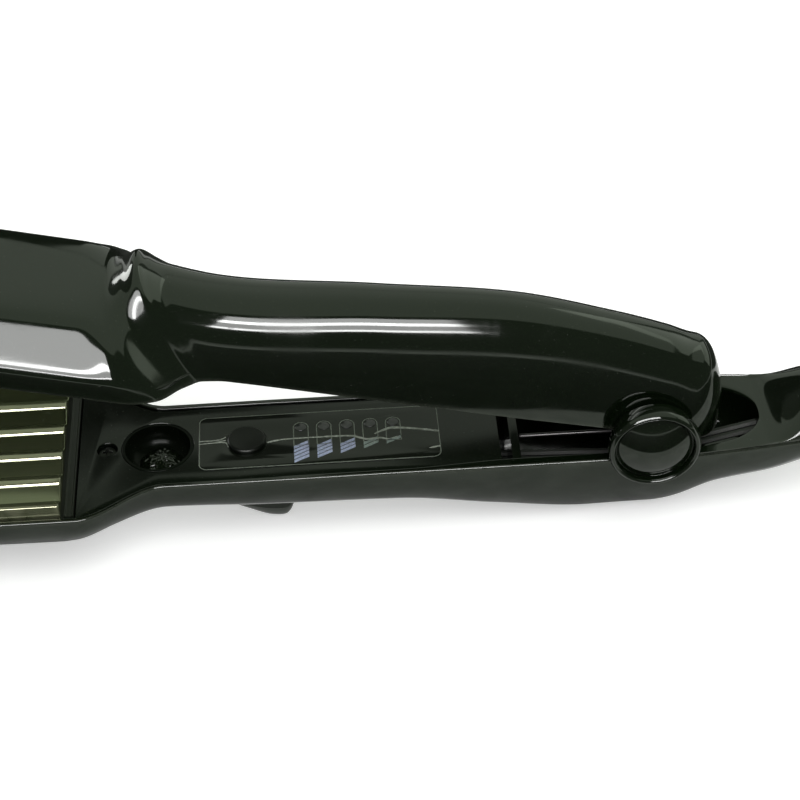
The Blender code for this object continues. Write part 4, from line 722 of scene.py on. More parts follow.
def printed_film():
    """Gloss polyester label: a smooth dark face with faint laminating ripples and fine scuffs."""
    f = Finish("label_film", (0.007, 0.009, 0.006), 0.1, IOR=1.4, Specular_Tint=PLASTIC_SHEEN)
    along = f.stretched((0.15, 1.0, 1.0), (0, 0, 0.7))
    scuff = f.spread(f.noise(700.0, 3.0, 0.6, 0.0, along), 0.62, 0.74)
    f.paint(f.blend(f.times(scuff, 0.35), (0.007, 0.009, 0.006), (0.05, 0.056, 0.046)))
    f.roughen(f.sum(f.times(scuff, 0.12), f.spread(f.noise(45.0, 3.0), 0.4, 0.7, 0.09, 0.16)))
    f.raised((f.noise(110.0, 2.0), 0.000012), (f.noise(1400.0, 2.0), 0.0000012))
    return f.made


def print_ink(name, colour):
    """Screen-printed ink: slightly broken cover over the film."""
    f = Finish(name, colour, 0.45)
    broken = f.spread(f.noise(3000.0, 3.0, 0.7), 0.4, 0.62)
    f.paint(f.blend(broken, shade(colour, 0.55), colour))
    f.roughen(f.spread(broken, 0.0, 1.0, 0.36, 0.52))
    f.raised((broken, 0.000006))
    return f.made


def clouded_film(name, colour, roughness, cloud_scale, cloud_low, tones, rough_range, height):
    """Clear or smoked plastic with a milky cloud in it, which also roughens and lifts its face."""
    f = Finish(name, colour, roughness)
    cloud = f.noise(cloud_scale, 4.0, 0.6)
    f.paint(f.blend(f.spread(cloud, cloud_low, 0.7), *tones))
    f.roughen(f.spread(cloud, 0.3, 0.7, *rough_range))
    f.raised((cloud, height))
    return f.made


GLOSS_BLACK = moulded_gloss("gloss_black_plastic", (0.0024, 0.0048, 0.0018), 0.07)
SATIN_BLACK = moulded_satin("satin_black_plastic", (0.0036, 0.0058, 0.003), 0.17, 0.5)
HEAT_BLACK = moulded_satin("heat_resistant_black", (0.0095, 0.0125, 0.0075), 0.34, 1.0)
BOWL_BLACK = moulded_satin("bowl_black_plastic", (0.004, 0.0062, 0.0034), 0.2, 0.6, 1.14)
BOSS_BLACK = moulded_gloss("rippled_black_plastic", (0.0048, 0.0078, 0.0036), 0.05, 9.0, False)
BUTTON_BLACK = moulded_satin("button_black_plastic", (0.002, 0.003, 0.0016), 0.32, 0.4, 1.3)
SPRING_STEEL = bare_metal("oiled_spring_steel", (0.06, 0.062, 0.056), 0.26, (0.1, 1.0, 1.0))
SCREW_BLACK = bare_metal("blackened_steel", (0.024, 0.028, 0.022), 0.3)
CHAMPAGNE = coated_plate()
STEEL = bare_metal("steel", (0.56, 0.56, 0.54), 0.24, (0.1, 1.0, 1.0))
ZINC = bare_metal("zinc_sheet", (0.5, 0.51, 0.52), 0.34, (0.2, 1.0, 1.0), 0.5)
MICA = dull_stuff("mica", (0.62, 0.56, 0.42), 0.55, 220.0, 0.00002, (0.74, 0.69, 0.56))
FELT = dull_stuff("heat_felt", (0.78, 0.76, 0.7), 0.92, 900.0, 0.00006, (0.64, 0.62, 0.55))
BOARD_GREEN = dull_stuff("circuit_board", (0.02, 0.16, 0.07), 0.4, 500.0, 0.00001,
                         (0.03, 0.22, 0.1))
COMPONENT_BLACK = moulded_satin("component_black", (0.025, 0.025, 0.026), 0.48, 1.4)
COMPONENT_BLUE = dull_stuff("component_blue", (0.04, 0.09, 0.32), 0.32, 300.0, 0.00001,
                            (0.05, 0.12, 0.4))
LENS_SMOKE = clouded_film("smoked_lens", (0.03, 0.034, 0.03), 0.1, 300.0, 0.4,
                          ((0.022, 0.026, 0.022), (0.055, 0.06, 0.052)), (0.08, 0.16), 0.000006)
LED_WHITE = dull_stuff("led_resin", (0.74, 0.74, 0.7), 0.3, 800.0, 0.000006, (0.66, 0.67, 0.62))
LABEL_FILM = printed_film()
LEAD_SLEEVE = dull_stuff("lead_insulation", (0.006, 0.008, 0.005), 0.62, 400.0, 0.00001,
                         (0.01, 0.012, 0.008))
FUSE_METAL = bare_metal("fuse_case", (0.7, 0.67, 0.58), 0.3)
BUSH_WHITE = dull_stuff("acetal_bush", (0.76, 0.76, 0.72), 0.4, 350.0, 0.000008, (0.68, 0.68, 0.63))
GLAND_BLACK = moulded_satin("gland_black", (0.014, 0.015, 0.013), 0.42, 1.6)
PALE_INK = print_ink("pale_ink", (0.2, 0.235, 0.185))
BLUE_INK = print_ink("blue_ink", (0.5, 0.57, 0.78))
GREEN_INK = print_ink("pale_green_ink", (0.3, 0.38, 0.34))
# Pale film for the label's creases: its colour is a painted highlight along each crease.
CREASE_PAINTED_SHEEN_FILM = clouded_film("crease_painted_sheen_film", (0.38, 0.42, 0.36), 0.22, 900.0, 0.3,
                          ((0.26, 0.29, 0.24), (0.46, 0.5, 0.43)), (0.16, 0.34), 0.00001)

LOWER_SHELL = Kind(GLOSS_BLACK, "lower_arm", "gloss_black_plastic", ("lower_shell",))
UPPER_SHELL = Kind(GLOSS_BLACK, "upper_arm", "gloss_black_plastic", ("upper_shell",))
LOWER_DECK = Kind(SATIN_BLACK, "lower_arm", "satin_black_plastic", ("lower_deck",))
UPPER_DECK = Kind(SATIN_BLACK, "upper_arm", "satin_black_plastic", ("upper_deck",))
GUIDE_CUP = Kind(BOWL_BLACK, "lower_arm", "gloss_black_plastic", ("guide_cup",))
POWER_BUTTON = Kind(BUTTON_BLACK, "lower_arm", "gloss_black_plastic", ("power_button",),
                    "power_button")
SWIVEL_GLAND = Kind(GLAND_BLACK, "lower_arm", "gland_black", ("swivel_gland",), "swivel_gland")


# ---- Lower shell
def lower_stations():
    """Places along the lower arm, close together at the nose, the cavity's end and the tail."""
    head = np.linspace(TIP_X + NOSE_LENGTH, SHOULDER_X, 24)
    waist = np.linspace(SHOULDER_X, WAIST_END_X, 44)
    handle = np.linspace(WAIST_END_X, HINGE_FRONT_X, 60)
    hinge = np.linspace(HINGE_FRONT_X, CAVITY_END_X - CHEEK_INNER, 26)
    cavity = CAVITY_END_X - CHEEK_INNER + CHEEK_INNER * np.sin(np.linspace(0.0, QUARTER_TURN, 34))
    tail = np.linspace(CAVITY_END_X + 0.0004, TAIL_END_X, 34)
    return stations(head, waist, handle, hinge, cavity, tail)


def lower_shell_skin():
    """Belly: y = -w sgn(cos t)|cos t|^(2/n), z = -d |sin t|^(2/n), with both shrunk to the tip by
    the nose rounding. From each rim a band of eased lip and flat top runs in to the cavity's edge,
    and behind it that band rises as the tail's crown. The cavity is a second arch a wall inside."""
    x = lower_stations()[:, None]
    power = lower_power(x)
    round_off = nose(x, TIP_X)
    width = lower_half_width(x) * round_off
    depth = lower_depth(x) * round_off
    lip = LIP * round_off
    start = np.arcsin(np.clip((lip / np.maximum(depth, 1e-9)), 0.0, 1.0) ** (power / 2))
    t = start + (math.pi - 2 * start) * np.linspace(0.0, 1.0, 97)[None, :]
    belly_y, belly_z = arch(width, -depth, power, t)
    belly = points(x, belly_y, np.maximum(belly_z, -RIM_HEIGHT))

    nose_inside = x + WALL * np.clip(1.0 - (x - TIP_X) / 0.03, 0.0, 1.0)
    inner_round = nose(nose_inside, TIP_X + WALL)
    inside = np.where(x < CAVITY_END_X, cavity_half_width(nose_inside) * inner_round, 0.0)
    open_part = (x < CAVITY_END_X - 1e-6).astype(float)
    inner_lip = mix(INNER_LIP, HINGE_BEAD, ease((x + 0.004) / 0.012))
    inner_lip = np.minimum(inner_lip, 0.5 * inside) * open_part
    seam = ease((x - 0.002) / 0.01)
    band = width - inside
    share = np.linspace(0.0, 1.0, 9)[None, :-1]
    quarter = share * QUARTER_TURN
    swell = 0.00034 * np.sin(math.pi * share) ** 2 * round_off
    rim_n = mix(lip * (1.0 - np.cos(quarter)), swell, seam)
    rim_z = mix(-lip * (1.0 - np.sin(quarter)), lip * (2.0 * share - 1.0), seam)
    first_n = lip * (1.0 - seam)
    first_z = lip * seam
    theta = np.linspace(0.0, QUARTER_TURN, 22)[None, :]
    reach = band - inner_lip - first_n
    top_n = first_n + reach * (1.0 - np.cos(theta) ** (2 / power))
    crown = tail_crown(x)
    behind = ease((x - CAVITY_END_X) / 0.012)
    top_z = first_z + (crown - first_z * behind) * np.sin(theta) ** (2 / power)
    top_z = top_z - first_z * (1.0 - behind) * ease(theta / 0.5)
    bead = np.linspace(0.0, QUARTER_TURN, 8)[None, 1:]
    in_n = band - inner_lip * (1.0 - np.sin(bead))
    in_z = crown - inner_lip * (1.0 - np.cos(bead))
    n = np.concatenate((rim_n, top_n, in_n), 1)
    z = np.concatenate((rim_z, top_z, in_z), 1)
    band_x = np.where(n >= band - inner_lip - 1e-9, mix(x, nose_inside, open_part), x)
    near_band = points(band_x, n - width, z)
    far_band = near_band * np.array((1.0, -1.0, 1.0))

    hollow = x[:, 0] <= CAVITY_END_X + 1e-9
    xi = nose_inside[hollow]
    wide = inside[hollow]
    deep = (lower_depth(xi) - WALL) * inner_round[hollow]
    begin = np.clip(inner_lip[hollow] / np.maximum(deep, 1e-9), 0.0, 1.0) ** (SECTION_POWER / 2)
    begin = np.arcsin(begin)
    s = begin + (math.pi - 2 * begin) * np.linspace(0.0, 1.0, 49)[None, :]
    cavity_y, cavity_z = arch(wide, -deep, SECTION_POWER, s)
    cavity = points(xi, cavity_y, np.maximum(cavity_z, WALL - RIM_HEIGHT))

    ring = np.concatenate((belly[-1], far_band[-1][::-1], near_band[-1][::-1]))
    hole = SOCKET_RADIUS / TAIL_RADIUS
    socket = np.stack((ring, ring * np.array((1.0, hole, hole)),
                       ring * np.array((0.0, hole, hole)) + np.array((SOCKET_FLOOR_X, 0.0, 0.0)),
                       ring * 0.0 + np.array((SOCKET_FLOOR_X, 0.0, 0.0))))
    rim_mark = [np.zeros(belly.shape[:2]) + (np.abs(belly[..., 2]) < 0.0007)]
    rim_mark += [np.zeros(near_band.shape[:2]) + (n < 0.0006)] * 2
    rim_mark += [np.zeros(cavity.shape[:2]), np.zeros(socket.shape[:2])]
    skin("lower_shell_skin", [belly, near_band, far_band, cavity, socket], LOWER_SHELL,
         marks={"rim": rim_mark}, sharp=42.0)


def hinge_rounds(name, kind, bore, radius, outer, inner, rise, edge):
    """Round cheeks about the hinge axis, one on each side of the cavity, pierced by a bore."""
    profile = [(bore, outer), (radius, outer), (radius, inner), (bore, inner)]
    for side, axis in (("near", "-Y"), ("far", "Y")):
        revolve(f"{side}_{name}", profile, kind, axis, (0.0, 0.0, rise), radius=edge, closed=True)


def shell_bulkhead():
    """Cross wall of the lower shell: its arch carried between two faces with eased edges."""
    x = CROSS_WALL_X
    t = np.linspace(0.0, math.pi, 61)
    wide = float(cavity_half_width(np.array(x))) + 0.0006
    deep = float(lower_depth(np.array(x))) - WALL / 2
    y, z = arch(wide, -deep, SECTION_POWER, t)
    z = np.minimum(z, -0.00015)
    core = -0.3 * deep
    half = BULKHEAD_THICKNESS / 2
    edge = 0.00025
    rows = []
    for shift, inset in ((-half, 1.0), (-half, edge), (-half + edge, 0.0), (half - edge, 0.0),
                         (half, edge), (half, 1.0)):
        if inset == 1.0:
            rows.append(points(x + shift, y * 0.0, np.full_like(z, core)))
        else:
            z_in = core + (z - core) * (1 - inset / deep)
            rows.append(points(x + shift, y * (1 - inset / wide), z_in))
    rows = np.stack(rows)
    rows = np.concatenate((rows, rows[:, :1]), 1)
    skin("shell_bulkhead", [rows], LOWER_SHELL._replace(look=SATIN_BLACK))


def shell_foot():
    """Small foot under the handle: a rounded section between the belly and a line that ramps down
    to the table and turns sharply up again."""
    x = np.linspace(FOOT_FRONT_X, FOOT_REAR_X, 90)[:, None]
    root = -(lower_depth(x) - 0.0012)
    keys = ((FOOT_FRONT_X, -0.012), (-0.115, -0.0136), (-0.106, -0.019), (-0.0995, -0.0222),
            (-0.0972, -RIM_HEIGHT), (-0.096, -0.0223), (-0.0946, -0.0207), (FOOT_REAR_X, -0.013))
    sole = np.minimum(smooth_curve(keys, x), root - 0.0001)
    a = np.linspace(0.0, math.pi, 41)[None, :]
    y = arch(FOOT_HALF_WIDTH, 0.0, 7.0, a)[0]
    z = root + arch(0.0, sole - root, 4.0, a)[1]
    side = points(x, y, z)
    ends = [np.stack((row, row * np.array((1.0, 0.0, 1.0)))) for row in (side[0], side[-1])]
    lid = np.stack((side[:, 0], side[:, -1]), 1)
    skin("shell_foot", [side, lid] + ends, LOWER_SHELL,
         sharp=30.0)


# ---- Upper shell
def upper_stations():
    """Places along the upper arm, close together at the nose, the guard ridge and the knuckle."""
    scoop_x, grip_x = RIDGE_X - 0.018, RIDGE_X + 0.02
    head = np.linspace(TIP_X + NOSE_LENGTH, scoop_x, 26)
    scoop = np.linspace(scoop_x, RIDGE_X, 46)
    behind = np.linspace(RIDGE_X, grip_x, 40)
    grip = np.linspace(grip_x, KNUCKLE_START_X, 70)
    knuckle = KNUCKLE_END_X - KNUCKLE_START_X
    rear = KNUCKLE_START_X + knuckle * np.sin(np.linspace(0.0, QUARTER_TURN, 28))
    return stations(head, scoop, behind, grip, rear)


def upper_sheet(x, inset, tip, t):
    """Arch at the places x, a distance inside the outer one, leaning back by the sweep. Along the
    head each point is moved out to a flat top with a bevel and slanting sides,
    (|y|/w)^m + ((|y| + k z)/c)^m + ((|y| + l z)/b)^m + (z/h)^m = 1."""
    round_off = nose(x, tip)
    width = np.maximum(upper_half_width(x) - inset, 0.0) * round_off
    height = np.maximum(upper_height(x) - inset, 0.0) * round_off
    y, z = arch(width, height, SECTION_POWER, t)
    reach = np.maximum(np.hypot(y, z), 1e-9)
    cut = np.maximum((CHAMFER_REACH - 1.46 * inset) * round_off, 1e-9)
    shave = np.maximum((BEVEL_REACH - 5.54 * inset) * round_off, 1e-9)
    sides = ((np.abs(y) / np.maximum(width, 1e-9)) ** CHAMFER_POWER
             + ((np.abs(y) + CHAMFER_LEAN * z) / cut) ** CHAMFER_POWER
             + ((np.abs(y) + BEVEL_LEAN * z) / shave) ** CHAMFER_POWER
             + (z / np.maximum(height, 1e-9)) ** CHAMFER_POWER)
    faceted = 1.0 / np.maximum(sides, 1e-9) ** (1 / CHAMFER_POWER)
    flatness = 1.0 - ease((x - (RIDGE_X - 0.013)) / 0.01)
    grow = np.where(reach > 1e-7, 1.0 + flatness * (faceted - 1.0), 1.0)
    y, z = y * grow, z * grow
    up = np.clip(z / np.maximum(height, 1e-9), 0.0, 1.0)
    lean = guard_sweep(x) * (1.0 - up) ** 1.2
    return points(x + lean, y, z)


def upper_shell_skin():
    """Outer arch y = -w sgn(cos t)|cos t|^(2/n), z = h |sin t|^(2/n), leaning back by the guard's
    sweep (1 - z/h)^1.2, an inner arch a wall inside, and eased lips between them along the mating
    plane."""
    x = upper_stations()[:, None]
    span = (x - TIP_X) / (KNUCKLE_END_X - TIP_X)
    squeezed = TIP_X + WALL + (KNUCKLE_END_X - 1.6 * WALL - TIP_X - WALL) * span
    t = np.linspace(0.0, math.pi, 121)[None, :]
    outer = upper_sheet(x, 0.0, TIP_X, t)
    inner = upper_sheet(squeezed, WALL, TIP_X + WALL, t)
    strips = []
    for column in (0, -1):
        a, b = outer[:, column], inner[:, column]
        away = np.array((0.0, 0.0, 0.00012))
        share = np.array((0.0, 0.04, 0.16, 0.5, 0.84, 0.96, 1.0))[None, :, None]
        drop = np.array((0.0, -0.7, -1.0, -1.0, -1.0, -0.7, 0.0))[None, :, None]
        strips.append(a[:, None] * (1 - share) + b[:, None] * share + away * drop)
    rim = [np.zeros(outer.shape[:2]) + (outer[..., 2] < 0.0006), np.zeros(inner.shape[:2]),
           np.ones(strips[0].shape[:2]), np.ones(strips[1].shape[:2])]
    skin("upper_shell_skin", [outer, inner] + strips, UPPER_SHELL, marks={"rim": rim}, sharp=42.0)


# ---- Plates and frames
def crimp_wave(y):
    """Ridge height c, which climbs as a triangle wave s of the pitch and is cut off flat over the
    crests with an eased edge, c = s - k log(1 + exp((s - 1) / k)). On each crest's near side the
    last tenth of the climb is taken in a short steep bevel."""
    turn = (y + PLATE_WIDTH / 2) / RIDGE_PITCH
    s = 1.205 * (1.0 - 2.0 * np.abs(turn - np.round(turn)))
    k = 0.018
    climb = np.clip(s - k * np.log1p(np.exp((s - 1.0) / k)), 0.0, 1.0)
    near_side = ease((np.round(turn) - turn) / 0.04 + 0.5)
    bevel = 0.1 * near_side * (ease((climb - 0.9) / 0.08) - climb)
    return WAVE_BASE + RIDGE_DEPTH * (climb + bevel)


def crimp_plate(name, node, arm, inward):
    """Ridged face, carried along the head with eased ends, over flat sides and a flat back."""
    across = np.linspace(-PLATE_WIDTH / 2, PLATE_WIDTH / 2, 401)[None, :]
    ends = np.array((0.0, 0.00006, 0.00018, 0.0004))
    x = np.concatenate((PLATE_FRONT_X + ends, np.linspace(PLATE_FRONT_X, PLATE_REAR_X, 40)[1:-1],
                        PLATE_REAR_X - ends[::-1]))[:, None]
    edge = np.minimum(x - PLATE_FRONT_X, PLATE_REAR_X - x)
    fall = 0.0003 * np.clip(1.0 - edge / 0.0004, 0.0, 1.0) ** 2
    side = np.minimum(across + PLATE_WIDTH / 2, PLATE_WIDTH / 2 - across)
    fall = fall + 0.00025 * np.clip(1.0 - side / 0.0003, 0.0, 1.0) ** 2
    wave = crimp_wave(across)
    if inward < 0:
        face, back = wave - fall, WAVE_BASE - PLATE_BASE
    else:
        face, back = wave + HAIR_GAP - PIVOT_RISE + fall, PLATE_BASE - WAVE_BASE
    top = points(x, across, face)
    under = points(x, across, np.full_like(face, back))
    ends, sides = edge_strips(top, under)
    walls = ends + sides
    climb = (wave - WAVE_BASE) / RIDGE_DEPTH
    if inward > 0:
        climb = 1.0 - climb
    # Mark along each crest's edge where the coat is painted paler: partly wear, partly a painted
    # highlight.
    share = np.exp(-(((climb - 0.95) / 0.05) ** 2)) + 0.0 * x
    marks = [share, share] + [np.zeros(wall.shape[:2]) for wall in walls]
    skin(name, [top, under] + walls, Kind(CHAMPAGNE, arm, "champagne_plate", (node,)),
         marks={"crest": marks}, sharp=50.0)


FRAME_FLOOR = PLATE_BASE - WAVE_BASE + GAP + 0.002


def plate_surround(name, node, arm, inward):
    """Heat-resistant frame round a plate, its rear bar with two fine lips and a shallow trough."""
    inset = RIM_WALL + GAP
    front, rear = TIP_X + inset, FRAME_REAR_X
    kind = Kind(HEAT_BLACK, arm, "heat_resistant_black", (node,))
    outline = plan_outline(head_half_width, front, rear, inset, 90, front)
    hole = rounded_rectangle(PLATE_REAR_X - PLATE_FRONT_X + 2 * GAP, PLATE_WIDTH + 2 * GAP, 0.0012,
                             (PLATE_REAR_X + PLATE_FRONT_X) / 2)
    low, high = sorted((inward * (PLATE_BASE - WAVE_BASE), -inward * 0.0003))
    half = float(head_half_width(np.array(PLATE_REAR_X))) - inset
    if half - PLATE_WIDTH / 2 - GAP > 0.0004:
        panel(name, outline, (hole,), low, high, kind, edge=0.00015)
    else:
        nose_block = plan_outline(head_half_width, front, PLATE_FRONT_X - GAP, inset, 90, front)
        panel(name, nose_block, (), low, high, kind, edge=0.0004)
    bed_low, bed_high = sorted((inward * (PLATE_BASE - WAVE_BASE + GAP), inward * FRAME_FLOOR))
    panel(name + "_bed", outline, (), bed_low, bed_high, kind)
    front = rear - FRAME_BAR
    lip, sunk, proud, foot = 0.00034, 0.00032, 0.0003, -0.0022
    trough = proud - sunk
    profile = [(front, foot), (front, proud), (front + lip, proud), (front + lip + 0.0002, trough),
               (rear - lip - 0.0002, trough), (rear - lip, proud), (rear, proud), (rear, foot)]
    line = eased_corners(profile, 0.00012)
    y = np.linspace(-half, half, 60)[None, :]
    bar = points(line[:, :1], y, -inward * line[:, 1:])
    ends = [np.stack((bar[:, k], bar[:, k] * np.array((1.0, 1.0, 0.0))
                      + np.array((0.0, 0.0, -inward * foot)))) for k in (0, -1)]
    skin(name + "_rear_bar", [bar] + ends, kind, sharp=30.0)


# ---- Deck and what is set in it
def lower_deck_plate():
    """Deck inside the handle's rim, pierced for the guide cup and for the screw."""
    outline = plan_outline(lower_half_width, DECK_FRONT_X, DECK_REAR_X, RIM_WALL + GAP)
    holes = [circle(GUIDE_RADIUS + 0.0009, GUIDE_X),
             circle(SCREW_HEAD_RADIUS + 0.0004, DECK_SCREW_X)]
    panel("lower_deck_plate", outline, holes, -(DECK_DROP + DECK_THICKNESS), -DECK_DROP, LOWER_DECK,
          edge=0.0002)


def guide_bowl():
    """Deep cup for the guide peg, r = R cos(a)^(2/3) and z = -d sin(a)^(2/3) turned about its axis,
    and the round boss on its floor, a piece of a sphere with small lumps, which go as
    sin(17 t + 0.6 sin 5a) (sin(7a + 1) + 0.6 sin 12a)."""
    lip, wall, floor = GUIDE_RADIUS, 0.0008, BOWL_FLOOR
    a = np.linspace(0.0, math.acos(0.3), 40)
    hollow = np.stack((lip * np.cos(a) ** (2 / 3), floor * np.sin(a) ** (2 / 3)), 1)[::-1]
    inside = np.concatenate((np.array(((0.0, floor), (0.0036, floor))), hollow))
    outside = np.array(((lip + 0.15 * wall, 0.00003), (lip + 0.8 * wall, 0.00003),
                        (lip + wall, -0.0001), (lip + wall, -0.004),
                        (0.6 * lip, floor - 0.6 * wall), (0.0, floor - wall)))
    revolve("guide_bowl", np.concatenate((inside, outside)), GUIDE_CUP,
            centre=(GUIDE_X, 0.0, -DECK_DROP), sides=128, radius=0.00012, sharp=50.0)
    sphere, top = BOSS_SPHERE, -0.0034 - DECK_DROP
    turn = np.linspace(0.0, math.radians(51.8), 60)[:, None]
    a = np.linspace(0.0, FULL_TURN, 181)[None, :]
    around = np.sin(7 * a + 1.0) + 0.6 * np.sin(12 * a)
    lumps = 0.0002 * np.sin(turn * 17.0 + 0.6 * np.sin(5 * a)) * around
    lumps = lumps * ease(turn / 0.25)
    out = sphere * np.sin(turn)
    ball = points(GUIDE_X + 0.0008 + out * np.cos(a), out * np.sin(a),
                  top - sphere * (1.0 - np.cos(turn)) + lumps)
    root = ball[-1] * 0.0 + np.array((GUIDE_X, 0.0, floor - 0.0012))
    skin("guide_boss", [ball, np.stack((ball[-1], root))], GUIDE_CUP._replace(look=BOSS_BLACK),
         sharp=60.0)


def recessed_screw(name, node, x, arm, axis):
    """Countersunk screw: a low dome whose height drops inside the two arms of a cross."""
    r = np.concatenate((np.linspace(0.0, 0.92, 24), (0.97, 1.0)))[:, None] * SCREW_HEAD_RADIUS
    a = np.linspace(0.0, FULL_TURN, 145)[None, :]
    px, py = r * np.cos(a), r * np.sin(a)
    arm_x = ease((0.00042 - np.abs(px)) / 0.00016) * ease((0.0014 - np.abs(py)) / 0.0002)
    arm_y = ease((0.00042 - np.abs(py)) / 0.00016) * ease((0.0014 - np.abs(px)) / 0.0002)
    cross = np.maximum(arm_x, arm_y)
    dome = 0.0003 * (1.0 - (r / SCREW_HEAD_RADIUS) ** 2)
    height = dome - 0.00075 * cross - 0.00015 * (r >= 0.999 * SCREW_HEAD_RADIUS)
    head = axis_points(axis, (x, 0.0, 0.0), r, a, height - DECK_DROP - 0.001)
    under = np.array(((1.0, -0.0004), (0.52, -0.0014), (0.5, -0.006), (0.0, -0.0075)))
    stem = axis_points(axis, (x, 0.0, 0.0), under[:, :1] * SCREW_HEAD_RADIUS, a,
                       under[:, 1:] - DECK_DROP - 0.001)
    join = np.stack((head[-1], stem[0]))
    skin(name, [head, join, stem], Kind(SCREW_BLACK, arm, "steel", (node,)), sharp=40.0)


def label_sheet():
    holes = [circle(BUTTON_RADIUS + 0.00035, BUTTON_X)]
    outline = rounded_rectangle(LABEL_LENGTH, LABEL_WIDTH, LABEL_CORNER, LABEL_CENTRE_X)
    kind = Kind(LABEL_FILM, "lower_arm", "label_film", ("control_label", "indicator_lenses"))
    panel("label_sheet", outline, holes, -DECK_DROP + 0.00001, LABEL_TOP, kind, edge=0.00004)


def printed(name, outline, holes, look, rise=0.00002):
    """A print on the label: an area a hair above its face."""
    return panel(name, outline, holes, LABEL_TOP - 0.00001, LABEL_TOP + rise,
                 Kind(look, "lower_arm", "label_film"), edge=0.000004)


def label_prints():
    """Border line, the windows' outlines, their smoked fields and the stepped bars below them."""
    line = 0.00024
    inset = 0.0001
    border, inner = [
        rounded_rectangle(LABEL_LENGTH - 2 * d, LABEL_WIDTH - 2 * d, LABEL_CORNER - d,
                          LABEL_CENTRE_X)
        for d in (inset, inset + line)]
    printed("label_border", border, (inner,), PALE_INK)
    for number in range(WINDOW_COUNT):
        x = WINDOW_FRONT_X + WINDOW_PITCH * number
        outside = capsule(WINDOW_WIDTH, WINDOW_LENGTH, x, WINDOW_Y)
        inside = capsule(WINDOW_WIDTH - 2 * line, WINDOW_LENGTH - 2 * line, x, WINDOW_Y)
        printed(f"window_outline_{number}", outside, (inside,), PALE_INK)
        panel(f"window_lens_{number}", circle(LENS_RADIUS, x, LENS_Y, 48), (), LABEL_TOP - 0.0001,
              LABEL_TOP + 0.00016, Kind(LENS_SMOKE, "lower_arm", "smoked_lens"), edge=0.00012)
        for k in range(WINDOW_COUNT - number):
            y = BAR_LEFT_Y - BAR_PITCH * k
            left, right = x - BAR_HALF_WIDTH, x + BAR_HALF_WIDTH
            stripe = np.array(((left, y - BAR_TALL), (right, y - BAR_TALL + BAR_SLANT),
                               (right, y + BAR_SLANT), (left, y)))
            printed(f"step_bar_{number}_{k}", stripe, (), BLUE_INK if number < 3 else GREEN_INK)


def film_crease(name, path, width, height):
    """Lifted crease in the label's clear cover: a bell-shaped ridge carried along a smooth line,
    z = h exp(-(2 s)^2) with s the place across it, fading out at both ends. Its pale colour
    is a painted highlight along the crease."""
    path = np.asarray(path, dtype=float)
    run = np.linspace(0.0, 1.0, 120)
    knots = np.linspace(0.0, 1.0, len(path))
    x, y, size = [smooth_curve(np.stack((knots, column), 1), run) for column in path.T]
    dx, dy = np.gradient(x), np.gradient(y)
    norm = np.hypot(dx, dy)
    s = np.linspace(-1.0, 1.0, 17)[None, :]
    wobble = 1.0 + 0.1 * np.sin(run * 23.0 + 1.3) * np.sin(run * 11.0)
    reach = (width * size * wobble)[:, None]
    top = LABEL_TOP - 0.00003 + (height * size * wobble)[:, None] * np.exp(-((2.0 * s) ** 2))
    surface = points(x[:, None] - dy[:, None] / norm[:, None] * reach * s,
                     y[:, None] + dx[:, None] / norm[:, None] * reach * s, top)
    flat = surface.copy()
    flat[..., 2] = LABEL_TOP - 0.00006
    ends, sides = edge_strips(surface, flat)
    skin(name, [surface, flat] + sides + ends, Kind(CREASE_PAINTED_SHEEN_FILM, "lower_arm", "label_film"),
         sharp=60.0)


def label_creases():
    """Creases of the film, as (x, y, strength) in millimetres on the lower arm."""
    upper_front = ((-117.6, 1.0, 0.9), (-114.7, 1.0, 1.0), (-112.0, 1.3, 1.0), (-110.6, 2.2, 1.0))
    lower_front = ((-117.6, -0.1, 0.8), (-114.7, 0.1, 1.0), (-112.0, 0.2, 1.0), (-110.3, -0.3, 0.9),
                   (-109.7, -1.8, 0.7))
    fork = ((-113.5, 0.6, 0.5), (-111.6, 0.7, 1.0), (-110.5, 0.9, 1.0))
    long = ((-99.7, -0.9, 0.6), (-97.3, -0.3, 1.0), (-93.1, 0.1, 0.9), (-88.4, 0.1, 0.8),
            (-84.7, 0.1, 0.9), (-80.0, 0.0, 0.9), (-77.3, -0.2, 1.0), (-75.2, -1.1, 1.1),
            (-73.2, -1.8, 1.1), (-70.0, -1.6, 1.0), (-67.9, -2.2, 0.7), (-65.4, -1.4, 0.4))
    rear = ((-71.4, 0.1, 0.5), (-69.3, 1.2, 1.0), (-66.6, 2.1, 1.1), (-61.9, 1.5, 1.0),
            (-58.2, 0.7, 1.0), (-54.3, -0.2, 0.9))
    tip = ((-57.4, -6.7, 0.4), (-56.0, -6.4, 1.0), (-54.4, -6.1, 1.0))
    folds = {"front_upper": (upper_front, 0.34, 0.14), "front_lower": (lower_front, 0.34, 0.14),
             "fork": (fork, 0.28, 0.12), "long": (long, 0.46, 0.17), "rear": (rear, 0.54, 0.19),
             "tip": (tip, 0.46, 0.14)}
    for name, (path, width, height) in folds.items():
        line = np.array(path) * np.array((0.001, 0.001, 1.0))
        film_crease("film_crease_" + name, line, width * 0.001, height * 0.001)


def push_button():
    """Dished button cap turned about its axis, standing a little above the label."""
    top = 0.0013 - DECK_DROP
    r = BUTTON_RADIUS
    skirt, flange, foot = -0.003, r + 0.0009, -0.0036
    profile = [(0.0, top - 0.0003), (0.3 * r, top - 0.00027), (0.6 * r, top - 0.00016),
               (0.84 * r, top), (0.92 * r, top), (r, top - 0.0005), (r, skirt), (flange, skirt),
               (flange, foot), (0.0, foot)]
    revolve("push_button_cap", profile, POWER_BUTTON, centre=(BUTTON_X, 0.0, 0.0), radius=0.0003)


